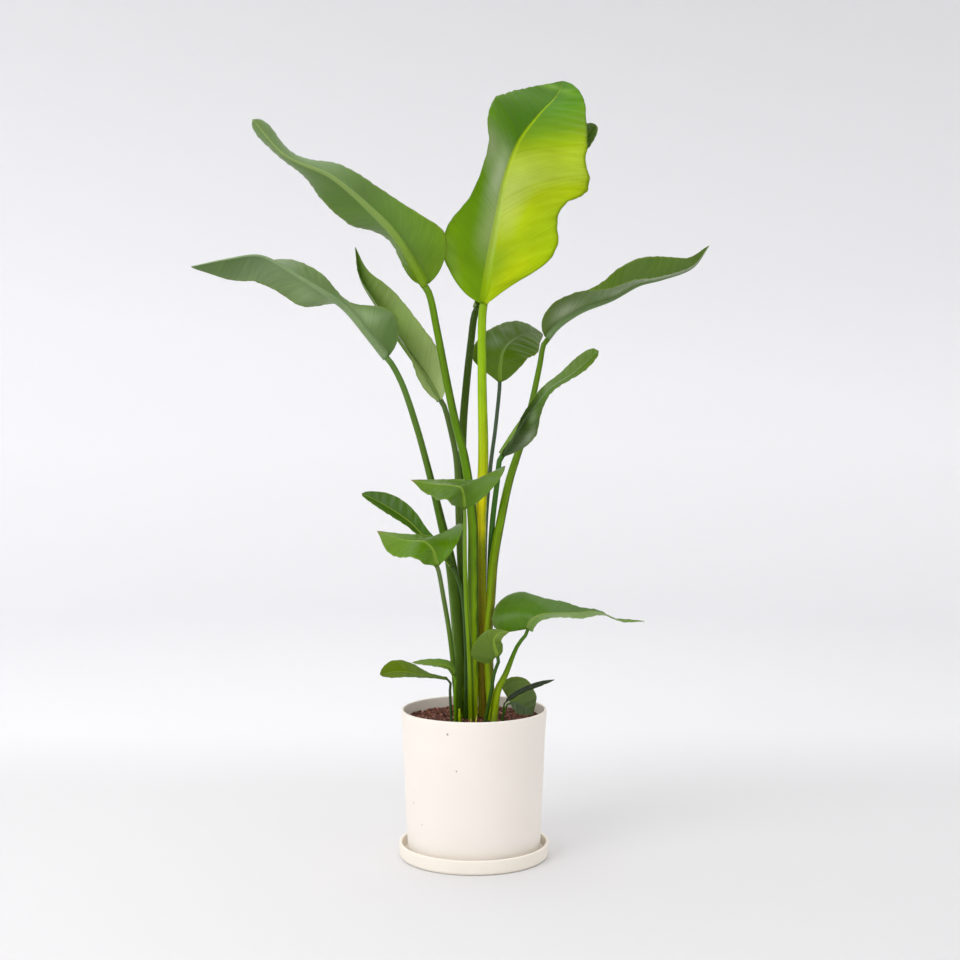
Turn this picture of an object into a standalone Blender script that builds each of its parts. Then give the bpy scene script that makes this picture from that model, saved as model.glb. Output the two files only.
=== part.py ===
"""Bird of paradise plant in a plain ceramic pot that stands in its saucer.

Units are metres and +Z is up. The origin is the centre of the saucer's flat
underside, and the side of the plant that is meant to be seen faces -Y.
Every leaf is one stalk, rooted in the soil, and one blade at the stalk's top.
"""

import math

import bpy
import numpy as np

# Pot and saucer.
ROUND_SEGMENTS = 64
POT_HEIGHT = 0.2465
POT_RIM_RADIUS = 0.125
POT_FOOT_RADIUS = 0.1125
POT_WALL = 0.0048
POT_FLOOR = 0.008
POT_FOOT_ROUND = 0.006
SAUCER_HEIGHT = 0.025
SAUCER_RADIUS = 0.1285
SAUCER_BASE_RADIUS = 0.1225
SAUCER_WALL = 0.005
SAUCER_FLOOR = 0.0062
SAUCER_EDGE_ROUND = 0.0055
GAP = 0.0003
ARC_STEPS = 4

# Soil.
SOIL_DEPTH_BELOW_RIM = 0.018
SOIL_BUMP = 0.0016
SOIL_RINGS = 7
SOCKET_DEPTH = 0.018
SOCKET_CLEARANCE = 0.0004
SOCKET_SIDES = 12

# Leaves.
BLADE_THICKNESS = 0.0013
BLADE_COLUMNS = (0.4, 0.72, 1.0)
RIB_TAPER = 1.3
RIB_WIDEST = 0.22
RIB_TIP = 0.0009
STALK_SIDES = 8
STALK_STEP = 0.07
STALK_LEAD = 2.5

POT_BASE = SAUCER_FLOOR + GAP
RIM_TOP = POT_BASE + POT_HEIGHT
SOIL_TOP = RIM_TOP - SOIL_DEPTH_BELOW_RIM
STALK_FOOT = SOIL_TOP - SOCKET_DEPTH

# Base colour, roughness.
MATERIALS = {
    "pot_ceramic": ((0.86, 0.82, 0.75), 0.75),
    "saucer_ceramic": ((0.85, 0.81, 0.73), 0.75),
    "soil_coir": ((0.13, 0.055, 0.032), 0.95),
    "leaf_bright": ((0.22, 0.38, 0.04), 0.45),
    "leaf_dark": ((0.07, 0.16, 0.03), 0.45),
    "leaf_grey": ((0.17, 0.26, 0.12), 0.5),
    "stalk_bright": ((0.22, 0.36, 0.03), 0.45),
    "stalk_dark": ((0.06, 0.11, 0.05), 0.5),
    "sprout": ((0.45, 0.5, 0.1), 0.6),
}

# Values that a leaf below leaves out. Widths are in millimetres and angles in degrees, each
# as a list of values at equal steps from the blade's base to its tip.
LEAF_DEFAULTS = {
    "fold_left": [15],
    "fold_right": [15],
    "curl_left": [0],
    "curl_right": [0],
    "wave_left": (0.0, 0.0, 0.0),
    "wave_right": (0.0, 0.0, 0.0),
    "sweep_left": 0.0,
    "sweep_right": 0.0,
    "lobe_left": 0.0,
    "lobe_right": 0.0,
    "spread": 0.0,
    "base_round": 0.16,
    "tip_round": 0.4,
    "tip_power": 0.75,
    "rows": 14,
    "blade_material": "leaf_dark",
    "stalk_material": "stalk_dark",
}

# stalk: route from the soil to the blade. radii: along the stalk, in millimetres.
# midrib: route from the blade's base to its tip. face: way that the upper face looks.
# left, right: half widths. fold: angle of each half from flat, towards the upper face.
# curl: further bend of each half out to its margin. wave: height, count and start of the
# ripples of a margin. sweep: lean of a half along the midrib. lobe: how far the base of a
# half reaches back past the stalk's top. spread: share of the length that a sharp turn is
# spread over to each side.
LEAVES = {
    "tall_front": {
        "stalk": [(.017, .002, .217), (.017, .002, .240), (.014, .004, .370), (.012, .008, .507),
                  (.012, .006, .576), (.016, .005, .678), (.014, .010, .818)],
        "radii": [8.5, 8.8, 9, 9, 7.8, 7],
        "midrib": [(.017, .018, .944), (.028, .022, 1.020), (.042, .035, 1.098), (.054, .055, 1.162),
                   (.078, .090, 1.229), (.114, .135, 1.284), (.147, .190, 1.328), (.164, .235, 1.366)],
        "face": [(0, -1, .15), (0, -1, .2), (0, -1, .3), (.05, -1, .5), (.1, -.8, .7), (.1, -.7, .7)],
        "left": [85, 96, 54, 46, 86, 68, 60],
        "right": [40, 112, 102, 144, 112, 82, 70],
        "fold_left": [10, 12, 25, 35, 25, 10, 5],
        "fold_right": [20, 15, 5, 0, 0, 5, 10],
        "curl_left": [-10, -10, -10, -10],
        "curl_right": [-20, -15, -10, -10],
        "wave_left": (.003, 2.2, .1),
        "wave_right": (.006, 2.6, .55),
        "base_round": .3, "tip_round": .3, "tip_power": .6,
        "rows": 18, "blade_material": "leaf_bright", "stalk_material": "stalk_bright",
    },
    "tall_back": {
        "stalk": [(-.017, .036, .217), (-.017, .036, .240), (-.021, .046, .574), (-.019, .050, .732),
                  (-.012, .055, .819), (-.005, .062, .883)],
        "radii": [8, 7.5, 7, 6],
        "midrib": [(.006, .072, .940), (.040, .120, 1.020), (.088, .165, 1.105), (.150, .195, 1.187),
                   (.192, .208, 1.242), (.221, .215, 1.284)],
        "face": [(0, -1, .2), (-.2, -.8, .7), (-.4, -.5, .8), (-.5, -.8, .4)],
        "left": [40, 60, 55, 30],
        "right": [30, 45, 40, 32],
        "fold_left": [50, 50, 60, 70],
        "fold_right": [50, 50, 30, 10],
        "tip_round": .2, "tip_power": .5,
    },
    "upper_left": {
        "stalk": [(-.002, -.004, .217), (-.002, -.004, .240), (-.001, -.010, .370), (-.001, -.012, .508),
                  (-.002, -.010, .577), (-.015, -.006, .678), (-.032, -.006, .746), (-.046, -.008, .814),
                  (-.062, -.014, .898)],
        "radii": [9, 9, 8.5, 7.5, 6.5, 6],
        "midrib": [(-.082, -.020, .971), (-.108, -.035, 1.017), (-.137, -.050, 1.060),
                   (-.167, -.065, 1.090), (-.232, -.090, 1.143), (-.305, -.105, 1.175),
                   (-.357, -.110, 1.232)],
        "face": [(.45, .85, .25), (.45, .87, .24), (.1, .98, 0), (-.1, .98, -.1), (0, 1, 0), (0, 1, .1)],
        "left": [62, 72, 50, 52, 56, 50, 46, 46],
        "right": [56, 62, 68, 60, 40, 44],
        "fold_left": [25, 38, 45, 42, 40, 25],
        "fold_right": [25, 46, 50, 55, 50, 25],
        "curl_left": [0, 0, 0, 20, 80, 100],
        "curl_right": [0, 0, 0, 20, 80, 100],
        "base_round": .2, "tip_round": .08, "tip_power": .5,
        "rows": 18, "blade_material": "leaf_grey", "stalk_material": "stalk_bright",
    },
    "far_left": {
        "stalk": [(-.024, .002, .217), (-.024, .002, .240), (-.026, .001, .370), (-.037, -.003, .489),
                  (-.056, -.008, .576), (-.081, -.022, .679), (-.097, -.032, .738), (-.120, -.042, .807)],
        "radii": [9, 10.5, 11, 8, 6, 5.5, 5],
        "midrib": [(-.145, -.050, .850), (-.176, -.055, .888), (-.216, -.060, .934), (-.252, -.066, .960),
                   (-.286, -.073, .981), (-.322, -.080, 1.003), (-.352, -.087, 1.015),
                   (-.405, -.094, 1.008), (-.460, -.100, .996)],
        "face": [(.38, .88, .28), (.38, .88, .28), (.1, 1, .1), (0, 1, 0), (-.1, 1, .2), (-.1, .9, .2)],
        "left": [45, 54, 24, 28, 40, 50, 46, 32],
        "right": [34, 50, 40, 50, 48, 50, 52, 36],
        "fold_left": [20, 30, 82, 40, 62, 110, 110, 110],
        "fold_right": [50, 55, 75, 35, 35, 25, 15, 15],
        "base_round": .12,
        "rows": 22, "blade_material": "leaf_grey",
    },
    "inner_left": {
        "stalk": [(-.014, .020, .217), (-.014, .020, .240), (-.021, .019, .437), (-.026, .020, .575),
                  (-.030, .022, .678), (-.038, .026, .720)],
        "radii": [6.5, 6, 5.5, 4.5],
        "midrib": [(-.057, .030, .780), (-.086, .036, .829), (-.128, .045, .885), (-.166, .055, .940),
                   (-.196, .062, .990), (-.206, .066, 1.045)],
        "face": [(-.4, -.9, .2), (-.4, -.9, .2), (-.2, -.9, .4), (.2, -.9, .4)],
        "left": [25, 40, 42, 35, 20],
        "right": [40, 50, 46, 34, 14],
        "fold_left": [60, 105, 90, 75],
        "fold_right": [20, 15, 15, 30],
        "base_round": .25,
        "rows": 14, "blade_material": "leaf_grey",
    },
    "far_right": {
        "stalk": [(.031, -.019, .217), (.031, -.019, .240), (.024, -.018, .373), (.029, -.014, .441),
                  (.034, -.010, .508), (.046, -.003, .576), (.061, .007, .644), (.088, .018, .729),
                  (.113, .028, .840)],
        "radii": [7.5, 8, 7.8, 7, 5.5, 4.5],
        "midrib": [(.127, .030, .885), (.144, .030, .905), (.183, .028, .931), (.236, .022, .951),
                   (.282, .010, .975), (.320, .000, .984), (.370, -.008, 1.003), (.396, -.015, 1.039)],
        "face": [(-.5, .05, .87), (-.5, 0, .87), (-.5, -.12, .87), (-.5, -.25, .87), (-.5, -.4, .87),
                 (-.5, -.4, .87), (-.5, -.3, .87)],
        "left": [30, 46, 46, 52, 50, 42, 26],
        "right": [44, 50, 48, 38, 40, 40, 24],
        "fold_left": [44, 36, 34, 38, 34, 30, 30],
        "fold_right": [44, 40, 36, 34, 30, 28, 25],
        "rows": 16,
    },
    "back_right": {
        "stalk": [(.018, .028, .217), (.018, .028, .240), (.018, .040, .434), (.021, .055, .572),
                  (.030, .065, .676), (.037, .070, .728)],
        "radii": [4.5, 4, 3.6, 3.4],
        "midrib": [(.045, .080, .812), (.046, .086, .840), (.052, .100, .868), (.070, .125, .888),
                   (.098, .150, .902), (.124, .170, .900)],
        "face": [(0, -1, .1), (0, -1, .3), (-.1, -.9, .5), (-.2, -.8, .6)],
        "left": [20, 52, 48, 42, 40, 34],
        "right": [30, 40, 46, 50, 44, 36],
        "fold_left": [5],
        "fold_right": [5],
        "curl_left": [-10],
        "curl_right": [-10],
        "base_round": .3,
        "spread": 0.1,
    },
    "twisted_right": {
        "stalk": [(.030, .014, .217), (.030, .014, .240), (.027, .012, .438), (.028, .008, .507),
                  (.032, -.004, .576), (.040, -.020, .645)],
        "radii": [6, 5.2, 4.8, 4.5],
        "midrib": [(.049, -.030, .688), (.077, -.040, .735), (.100, -.048, .764), (.128, -.058, .798),
                   (.163, -.068, .822), (.206, -.080, .860)],
        "face": [(0, -1, .1), (0, -1, .1), (-.3, -.8, .5), (-.49, -.57, .66), (-.49, -.57, .66),
                 (-.49, -.57, .66)],
        "left": [20, 22, 12, 12, 20, 18],
        "right": [16, 27, 37, 58, 28, 22, 34, 32],
        "fold_left": [70, 85, 70, 20, 15, 15],
        "fold_right": [10, 5, 30, 15, 15, 15],
        "curl_left": [10],
        "curl_right": [10],
        "tip_round": .12,
        "tip_power": .4,
    },
    "front_upper": {
        "stalk": [(-.004, -.022, .217), (-.004, -.022, .240), (-.006, -.050, .344), (-.012, -.088, .450),
                  (-.014, -.115, .519)],
        "radii": [5.5, 5, 4.2, 3.5, 3],
        "midrib": [(-.015, -.140, .605), (-.017, -.147, .623), (-.021, -.149, .637), (-.038, -.142, .641),
                   (-.067, -.127, .643), (-.102, -.112, .649)],
        "face": [(0, -1, .1), (.45, -.55, .75), (.15, -.38, 1), (0, -.5, 1), (0, -.4, 1)],
        "left": [12, 38, 42, 26, 20, 10],
        "right": [54, 116, 112, 82, 44, 20],
        "fold_left": [5, -5, -18, -24, -20, -8],
        "fold_right": [5, 5, -4, -14, -14, -5],
        "curl_left": [-5],
        "curl_right": [8, 8, 0, 0],
        "sweep_right": -0.55,
        "spread": 0.3,
        "rows": 16,
        "base_round": .4,
    },
    "front_lower": {
        "stalk": [(-.028, -.020, .217), (-.028, -.020, .240), (-.031, -.036, .291), (-.036, -.055, .354),
                  (-.041, -.073, .399), (-.049, -.097, .452)],
        "radii": [4.5, 4.2, 4, 3.6],
        "midrib": [(-.060, -.125, .511), (-.064, -.130, .523), (-.069, -.134, .538), (-.082, -.133, .549),
                   (-.106, -.124, .550), (-.133, -.115, .556), (-.158, -.105, .565)],
        "face": [(0, -1, .1), (.45, -.55, .75), (.15, -.38, 1), (0, -.5, 1), (0, -.4, 1)],
        "left": [14, 38, 42, 36, 30, 14],
        "right": [44, 94, 96, 70, 40, 20],
        "fold_left": [5, -5, -18, -24, -20, -8],
        "fold_right": [5, 5, -4, -14, -14, -5],
        "curl_left": [-5],
        "curl_right": [6, 6, 0, 0],
        "sweep_right": -0.65,
        "spread": 0.3,
        "rows": 16,
        "base_round": .4,
    },
    "narrow_left": {
        "stalk": [(-.013, -.017, .217), (-.013, -.017, .240), (-.014, -.028, .373), (-.021, -.038, .458)],
        "radii": [3, 3, 3, 2.8],
        "midrib": [(-.038, -.050, .502), (-.060, -.052, .529), (-.087, -.050, .554), (-.107, -.045, .574),
                   (-.129, -.040, .590), (-.158, -.032, .607), (-.189, -.025, .622)],
        "face": [(.3, -.7, .5)],
        "left": [9, 11, 14, 22, 24, 20],
        "right": [8, 10, 14, 22, 24, 18],
        "fold_left": [30],
        "fold_right": [30],
        "tip_power": .5,
        "rows": 12,
    },
    "low_left": {
        "stalk": [(-.038, -.032, .217), (-.038, -.032, .240), (-.040, -.040, .290)],
        "radii": [2.6, 2.4, 2.2],
        "midrib": [(-.045, -.045, .311), (-.082, -.050, .317), (-.124, -.055, .325), (-.157, -.060, .321)],
        "face": [(0, -.6, 1), (0, -.7, 1)],
        "left": [3, 6, 12, 18, 12],
        "right": [3, 6, 18, 24, 16],
        "curl_left": [-10],
        "curl_right": [-10],
        "tip_round": .2, "tip_power": .5,
        "rows": 10, "blade_material": "leaf_bright",
    },
    "low_left_small": {
        "stalk": [(-.030, -.041, .217), (-.030, -.041, .240), (-.031, -.056, .293)],
        "radii": [3.5, 3.2, 3],
        "midrib": [(-.034, -.066, .322), (-.043, -.071, .334), (-.070, -.075, .341), (-.102, -.078, .344)],
        "face": [(-.3, -.5, 1), (0, -.5, 1)],
        "left": [8, 10, 8, 8],
        "right": [12, 14, 10, 8],
        "curl_left": [-10],
        "curl_right": [-10],
        "rows": 8, "blade_material": "leaf_bright", "stalk_material": "stalk_bright",
    },
    "low_right": {
        "stalk": [(.034, -.036, .217), (.034, -.036, .240), (.040, -.042, .290), (.053, -.046, .318),
                  (.074, -.050, .369)],
        "radii": [6.8, 6.6, 5, 3.6, 3],
        "midrib": [(.091, -.050, .396), (.095, -.053, .408), (.106, -.056, .416), (.125, -.058, .421),
                   (.174, -.062, .424), (.208, -.065, .426), (.240, -.068, .414), (.284, -.072, .412)],
        "face": [(0, -1, .1), (0, -.7, .7), (0, -.4, .9), (0, -.35, 1), (0, -.35, 1), (0, -.1, 1), (0, .1, 1),
                 (0, -.4, 1), (0, -.4, 1)],
        "left": [40, 66, 48, 36, 16, 10, 8, 7, 6],
        "right": [14, 26, 36, 24, 22, 22, 14, 8, 6],
        "fold_left": [5],
        "fold_right": [40, 20, 0, 0, 0],
        "base_round": .06,
        "rows": 20, "stalk_material": "stalk_bright",
        "spread": 0.1,
        "lobe_left": 0.055,
    },
    "low_front": {
        "stalk": [(.020, -.043, .217), (.020, -.043, .240), (.030, -.053, .295), (.035, -.060, .325)],
        "radii": [3.5, 3, 3],
        "midrib": [(.040, -.070, .354), (.035, -.075, .371), (.034, -.080, .384), (.042, -.080, .393),
                   (.059, -.075, .395)],
        "face": [(-.1, -1, .1), (-.1, -1, .1), (-.4, -.7, .6)],
        "left": [22, 42, 24, 8, 6],
        "right": [10, 14, 12, 8],
        "fold_left": [10],
        "fold_right": [10],
        "curl_left": [-20],
        "curl_right": [-20],
        "rows": 10,
        "lobe_left": 0.02,
        "spread": 0.15,
    },
    "pot_right": {
        "stalk": [(.048, -.030, .217), (.048, -.030, .240)],
        "radii": [1.8, 1.6],
        "midrib": [(.062, -.026, .266), (.071, -.025, .267), (.086, -.024, .259), (.101, -.022, .247)],
        "face": [(0, -1, .3), (.2, -1, .3), (.3, -1, .4)],
        "left": [38, 44, 34, 26, 14],
        "right": [14, 18, 14, 9],
        "rows": 10,
        "lobe_left": 0.02,
    },
    "spike": {
        "stalk": [(.049, -.052, .217), (.049, -.052, .240)],
        "radii": [1.6, 1.4],
        "midrib": [(.055, -.060, .276), (.079, -.060, .291), (.108, -.060, .303), (.135, -.060, .312)],
        "face": [(0, -.7, .7)],
        "left": [5, 6, 5],
        "right": [5, 6, 5],
        "fold_left": [25],
        "fold_right": [25],
        "rows": 8,
    },
}

# Short shoots between the stalks: route and radii in millimetres.
SHOOTS = {
    "cut_sheath": {
        "route": [(-.023, -.050, .217), (-.023, -.050, .240), (-.024, -.052, .262)],
        "radii": [3, 2.8, 1.5], "material": "stalk_bright",
    },
    "sprout_left": {
        "route": [(-.004, -.062, .217), (-.004, -.062, .240), (-.005, -.063, .247)],
        "radii": [1.6, 1.4, .5], "material": "sprout",
    },
    "sprout_right": {
        "route": [(.004, -.058, .217), (.004, -.058, .240), (.005, -.058, .251)],
        "radii": [1.8, 1.5, .5], "material": "sprout",
    },
}


def clear_scene():
    for thing in list(bpy.data.objects):
        bpy.data.objects.remove(thing, do_unlink=True)


def make_materials():
    """Make one Principled material for each finish and return them by name."""
    made = {}
    for name, (colour, roughness) in MATERIALS.items():
        material = bpy.data.materials.new(name)
        material.use_nodes = True
        shader = material.node_tree.nodes["Principled BSDF"]
        shader.inputs["Base Color"].default_value = (*colour, 1.0)
        shader.inputs["Roughness"].default_value = roughness
        shader.inputs["Metallic"].default_value = 0.0
        material.diffuse_color = (*colour, 1.0)
        made[name] = material
    return made


def add_object(name, points, faces, material):
    """Add a smooth-shaded mesh object with one material."""
    mesh = bpy.data.meshes.new(name)
    mesh.from_pydata([tuple(point) for point in points], [], faces)
    mesh.update()
    mesh.shade_smooth()
    thing = bpy.data.objects.new(name, mesh)
    if material:
        mesh.materials.append(material)
    bpy.context.scene.collection.objects.link(thing)
    return thing


def smooth_path(points, count):
    """Return count + 1 points, evenly spaced, and their tangents on a smooth curve."""
    knots = np.array(points, float)
    first = 2 * knots[0] - knots[1]
    last = 2 * knots[-1] - knots[-2]
    knots = np.vstack([first, knots, last])
    fine = []
    for i in range(1, len(knots) - 2):
        fine.extend(curve_stretch(knots[i - 1:i + 3]))
    fine.append(knots[-2])
    fine = np.array(fine)
    steps = np.linalg.norm(np.diff(fine, axis=0), axis=1)
    along = np.concatenate([[0], np.cumsum(steps)])
    wanted = np.linspace(0, along[-1], count + 1)
    spots = np.stack([np.interp(wanted, along, fine[:, k]) for k in range(3)], axis=1)
    tangents = np.gradient(spots, axis=0)
    tangents /= np.linalg.norm(tangents, axis=1)[:, None]
    return spots, tangents


def curve_stretch(knots, count=40):
    """Return points of the centripetal Catmull-Rom curve between the middle two of four knots."""
    times = [0.0]
    for a, b in zip(knots, knots[1:]):
        times.append(times[-1] + math.sqrt(np.linalg.norm(b - a)))
    spots = []
    for now in np.linspace(times[1], times[2], count, endpoint=False):
        first = blend(knots[0], knots[1], times[0], times[1], now)
        middle = blend(knots[1], knots[2], times[1], times[2], now)
        last = blend(knots[2], knots[3], times[2], times[3], now)
        early = blend(first, middle, times[0], times[2], now)
        late = blend(middle, last, times[1], times[3], now)
        spots.append(blend(early, late, times[1], times[2], now))
    return spots


def blend(a, b, start, end, now):
    """Mix a and b by where now lies between start and end."""
    share = (now - start) / (end - start)
    return a * (1 - share) + b * share


def smooth_values(values, places):
    """Read a smooth curve through equally spaced values at places from 0 to 1."""
    values = np.array(values, float)
    if len(values) == 1:
        return np.repeat(values, len(places), axis=0)
    spots = places * (len(values) - 1)
    start = np.minimum(spots.astype(int), len(values) - 2)
    u = spots - start
    if values.ndim > 1:
        u = u[:, None]
    before = values[np.maximum(start - 1, 0)]
    here = values[start]
    after = values[start + 1]
    beyond = values[np.minimum(start + 2, len(values) - 1)]
    bend = 2 * before - 5 * here + 4 * after - beyond
    twist = -before + 3 * here - 3 * after + beyond
    return 0.5 * (2 * here + (after - before) * u + bend * u ** 2 + twist * u ** 3)


def ease(distance, length, power):
    """Rise from 0 to 1 over length, round like the end of an ellipse."""
    share = np.minimum(distance / length, 1.0)
    return (1 - (1 - share) ** 2) ** power


def half_blade(leaf, side, places, share):
    """Return how far across and above the midrib a half lies at share of its width.

    Also returns the angle of the half's surface there and the half width.
    """
    width = smooth_values(leaf[side], places) / 1000
    outline = ease(places, leaf["base_round"], 0.5)
    outline = outline * ease(1 - places, leaf["tip_round"], leaf["tip_power"])
    width = np.maximum(width * outline, leaf["least_width"])
    fold = np.radians(smooth_values(leaf["fold_" + side], places))
    curl = np.radians(smooth_values(leaf["curl_" + side], places))
    curl = np.where(np.abs(curl) < 1e-4, 1e-4, curl)
    angle = fold + curl * share
    across = width * (np.sin(angle) - np.sin(fold)) / curl
    above = width * (np.cos(fold) - np.cos(angle)) / curl
    height, count, start = leaf["wave_" + side]
    ripple = height * share ** 2 * outline * np.sin(2 * math.pi * (count * places + start))
    across = across - ripple * np.sin(angle)
    above = above + ripple * np.cos(angle)
    return across, above, angle, width


def blade_frame(leaf):
    """Return the midrib's points and the ways along it, up from it and to its right."""
    spots, along = smooth_path(leaf["midrib"], leaf["rows"])
    places = np.linspace(0, 1, leaf["rows"] + 1)
    along = spread_turns(along, round(leaf["spread"] * leaf["rows"]))
    face = smooth_values(leaf["face"], places)
    up = face - np.sum(face * along, axis=1)[:, None] * along
    up /= np.linalg.norm(up, axis=1)[:, None]
    right = np.cross(along, up)
    return places, spots, along, up, right


def spread_turns(along, reach):
    """Spread a sharp turn of the midrib over its neighbours, so that the halves don't cross."""
    spread = [along[max(0, i - reach):i + reach + 1].mean(axis=0) for i in range(len(along))]
    spread = np.array(spread)
    spread[0] = along[0]
    return spread / np.linalg.norm(spread, axis=1)[:, None]


def blade_column(leaf, frame, rib, side, share):
    """Return one lengthwise row of a blade's upper face, its outward ways and its thickness."""
    places, spots, along, up, right = frame
    if side is None:
        return spots + up * rib[:, None] / 2, up, rib
    way = -1 if side == "left" else 1
    if share is None:
        share = np.minimum(rib / 2 / half_blade(leaf, side, places, 0.5)[3], RIB_WIDEST)
    across, above, angle, width = half_blade(leaf, side, places, share)
    lean = leaf["sweep_" + side] * width * share * places
    lobe = leaf["lobe_" + side] * (1 - places) ** 5 * ease(places, leaf["base_round"], 0.5)
    lean = lean - lobe * share ** 2
    column = spots + up * (above + rib / 2)[:, None]
    column = column + way * right * across[:, None] + along * lean[:, None]
    outward = up * np.cos(angle)[:, None] - way * right * np.sin(angle)[:, None]
    return column, outward, np.minimum(BLADE_THICKNESS, width / 2)


def blade_rib(leaf, places):
    """Return the midrib's depth, which starts at the stalk's thickness."""
    base = 2 * leaf["radii"][-1] / 1000
    return RIB_TIP + (base - RIB_TIP) * (1 - places) ** RIB_TAPER


def add_blade(name, leaf, material):
    """Add a leaf's blade as a closed solid: a folded sheet with a ridge under its midrib."""
    frame = blade_frame(leaf)
    rib = blade_rib(leaf, frame[0])
    leaf = {**leaf, "least_width": rib * 0.55}
    upper = []
    lower = []
    stops = [("left", share) for share in reversed(BLADE_COLUMNS)]
    stops += [("left", None), (None, 0), ("right", None)]
    stops += [("right", share) for share in BLADE_COLUMNS]
    for side, share in stops:
        column, outward, depth = blade_column(leaf, frame, rib, side, share)
        upper.append(column)
        lower.append(column - outward * depth[:, None])
    points, faces = closed_sheet(np.array(upper), np.array(lower))
    return add_object(name, points, faces, material)


def closed_sheet(upper, lower):
    """Join two grids of points, indexed by column and row, into a closed skin."""
    columns, rows, _ = upper.shape
    points = np.concatenate([upper.reshape(-1, 3), lower.reshape(-1, 3)])
    offset = columns * rows
    faces = []
    for i in range(columns - 1):
        for j in range(rows - 1):
            a = i * rows + j
            b = a + rows
            faces.append((a, b, b + 1, a + 1))
            faces.append((a + offset, a + 1 + offset, b + 1 + offset, b + offset))
    for i in range(columns - 1):
        a = i * rows
        b = a + rows
        faces.append((b, a, a + offset, b + offset))
        a += rows - 1
        b += rows - 1
        faces.append((a, b, b + offset, a + offset))
    for j in range(rows - 1):
        faces.append((j, j + 1, j + 1 + offset, j + offset))
        a = (columns - 1) * rows + j
        faces.append((a + 1, a, a + offset, a + 1 + offset))
    return points, faces


def add_stalk(name, route, radii, material, end=None, way=None):
    """Add a round stalk along a route, closed at both ends, that may end square to a way."""
    length = sum(math.dist(a, b) for a, b in zip(route, route[1:]))
    count = max(3, round(length / STALK_STEP))
    foot = route[0]
    route = route[1:]
    if end is not None:
        lead = way * radii[-1] / 1000 * STALK_LEAD
        route = route + [tuple(end - lead), tuple(end)]
        count += 2
    spots, tangents = smooth_path(route, count)
    tangents[0] = (0, 0, 1)
    if way is not None:
        tangents[-1] = way
    sizes = smooth_values(radii, np.linspace(0, 1, count + 1)) / 1000
    spots = np.vstack([foot, spots])
    tangents = np.vstack([tangents[0], tangents])
    sizes = np.concatenate([sizes[:1], sizes])
    count += 1
    turns = 2 * math.pi * np.arange(STALK_SIDES) / STALK_SIDES
    points = []
    for spot, tangent, size in zip(spots, tangents, sizes):
        side = np.cross((0, 1, 0), tangent)
        side /= np.linalg.norm(side)
        front = np.cross(tangent, side)
        for turn in turns:
            points.append(spot + size * (math.cos(turn) * side + math.sin(turn) * front))
    faces = [tuple(reversed(range(STALK_SIDES)))]
    for row in range(count):
        for k in range(STALK_SIDES):
            a = row * STALK_SIDES + k
            b = row * STALK_SIDES + (k + 1) % STALK_SIDES
            faces.append((a, b, b + STALK_SIDES, a + STALK_SIDES))
    top = count * STALK_SIDES
    faces.append(tuple(range(top, top + STALK_SIDES)))
    return add_object(name, points, faces, material)


def add_leaves(materials):
    """Add every leaf's stalk and blade."""
    for name, values in LEAVES.items():
        leaf = {**LEAF_DEFAULTS, **values}
        add_blade("blade_" + name, leaf, materials[leaf["blade_material"]])
        _, spots, along, _, _ = blade_frame(leaf)
        material = materials[leaf["stalk_material"]]
        end = spots[0] - along[0] * GAP
        add_stalk("stalk_" + name, leaf["stalk"], leaf["radii"], material, end, along[0])


def add_shoots(materials):
    """Add the short shoots, each a closed round spike."""
    for name, shoot in SHOOTS.items():
        add_stalk(name, shoot["route"], shoot["radii"], materials[shoot["material"]])


def arc(centre, radius, start, end):
    """Return points of a round corner in a profile, between two angles in degrees."""
    points = []
    for i in range(ARC_STEPS + 1):
        turn = math.radians(start + (end - start) * i / ARC_STEPS)
        points.append((centre[0] + radius * math.cos(turn), centre[1] + radius * math.sin(turn)))
    return points


def add_turned(name, profile, material):
    """Turn a profile of (radius, height) points, which starts and ends on the axis, into a solid."""
    points = []
    for radius, height in profile[1:-1]:
        for k in range(ROUND_SEGMENTS):
            turn = 2 * math.pi * k / ROUND_SEGMENTS
            points.append((radius * math.cos(turn), radius * math.sin(turn), height))
    rings = len(profile) - 2
    faces = []
    for ring in range(rings - 1):
        for k in range(ROUND_SEGMENTS):
            a = ring * ROUND_SEGMENTS + k
            b = ring * ROUND_SEGMENTS + (k + 1) % ROUND_SEGMENTS
            faces.append((a, b, b + ROUND_SEGMENTS, a + ROUND_SEGMENTS))
    faces.append(tuple(reversed(range(ROUND_SEGMENTS))))
    last = (rings - 1) * ROUND_SEGMENTS
    faces.append(tuple(range(last, last + ROUND_SEGMENTS)))
    return add_object(name, points, faces, material)


def pot_radius(height):
    """Return the pot's outer radius at a height: a slight flare from foot to rim."""
    share = (height - POT_BASE) / POT_HEIGHT
    return POT_FOOT_RADIUS + (POT_RIM_RADIUS - POT_FOOT_RADIUS) * share


def add_pot(material):
    """Add the pot: a flared wall with a round lip and a round foot edge."""
    lip = POT_WALL / 2
    rim = (POT_RIM_RADIUS - lip, RIM_TOP - lip)
    foot = (pot_radius(POT_BASE + POT_FOOT_ROUND) - POT_FOOT_ROUND, POT_BASE + POT_FOOT_ROUND)
    floor_top = POT_BASE + POT_FLOOR
    inner_foot = (pot_radius(floor_top) - POT_WALL - POT_FOOT_ROUND, floor_top + POT_FOOT_ROUND)
    profile = [(0, POT_BASE)]
    profile += arc(foot, POT_FOOT_ROUND, -90, 0)
    profile += arc(rim, lip, 0, 180)
    profile += arc(inner_foot, POT_FOOT_ROUND, 0, -90)
    profile += [(0, floor_top)]
    add_turned("pot", profile, material)


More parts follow.
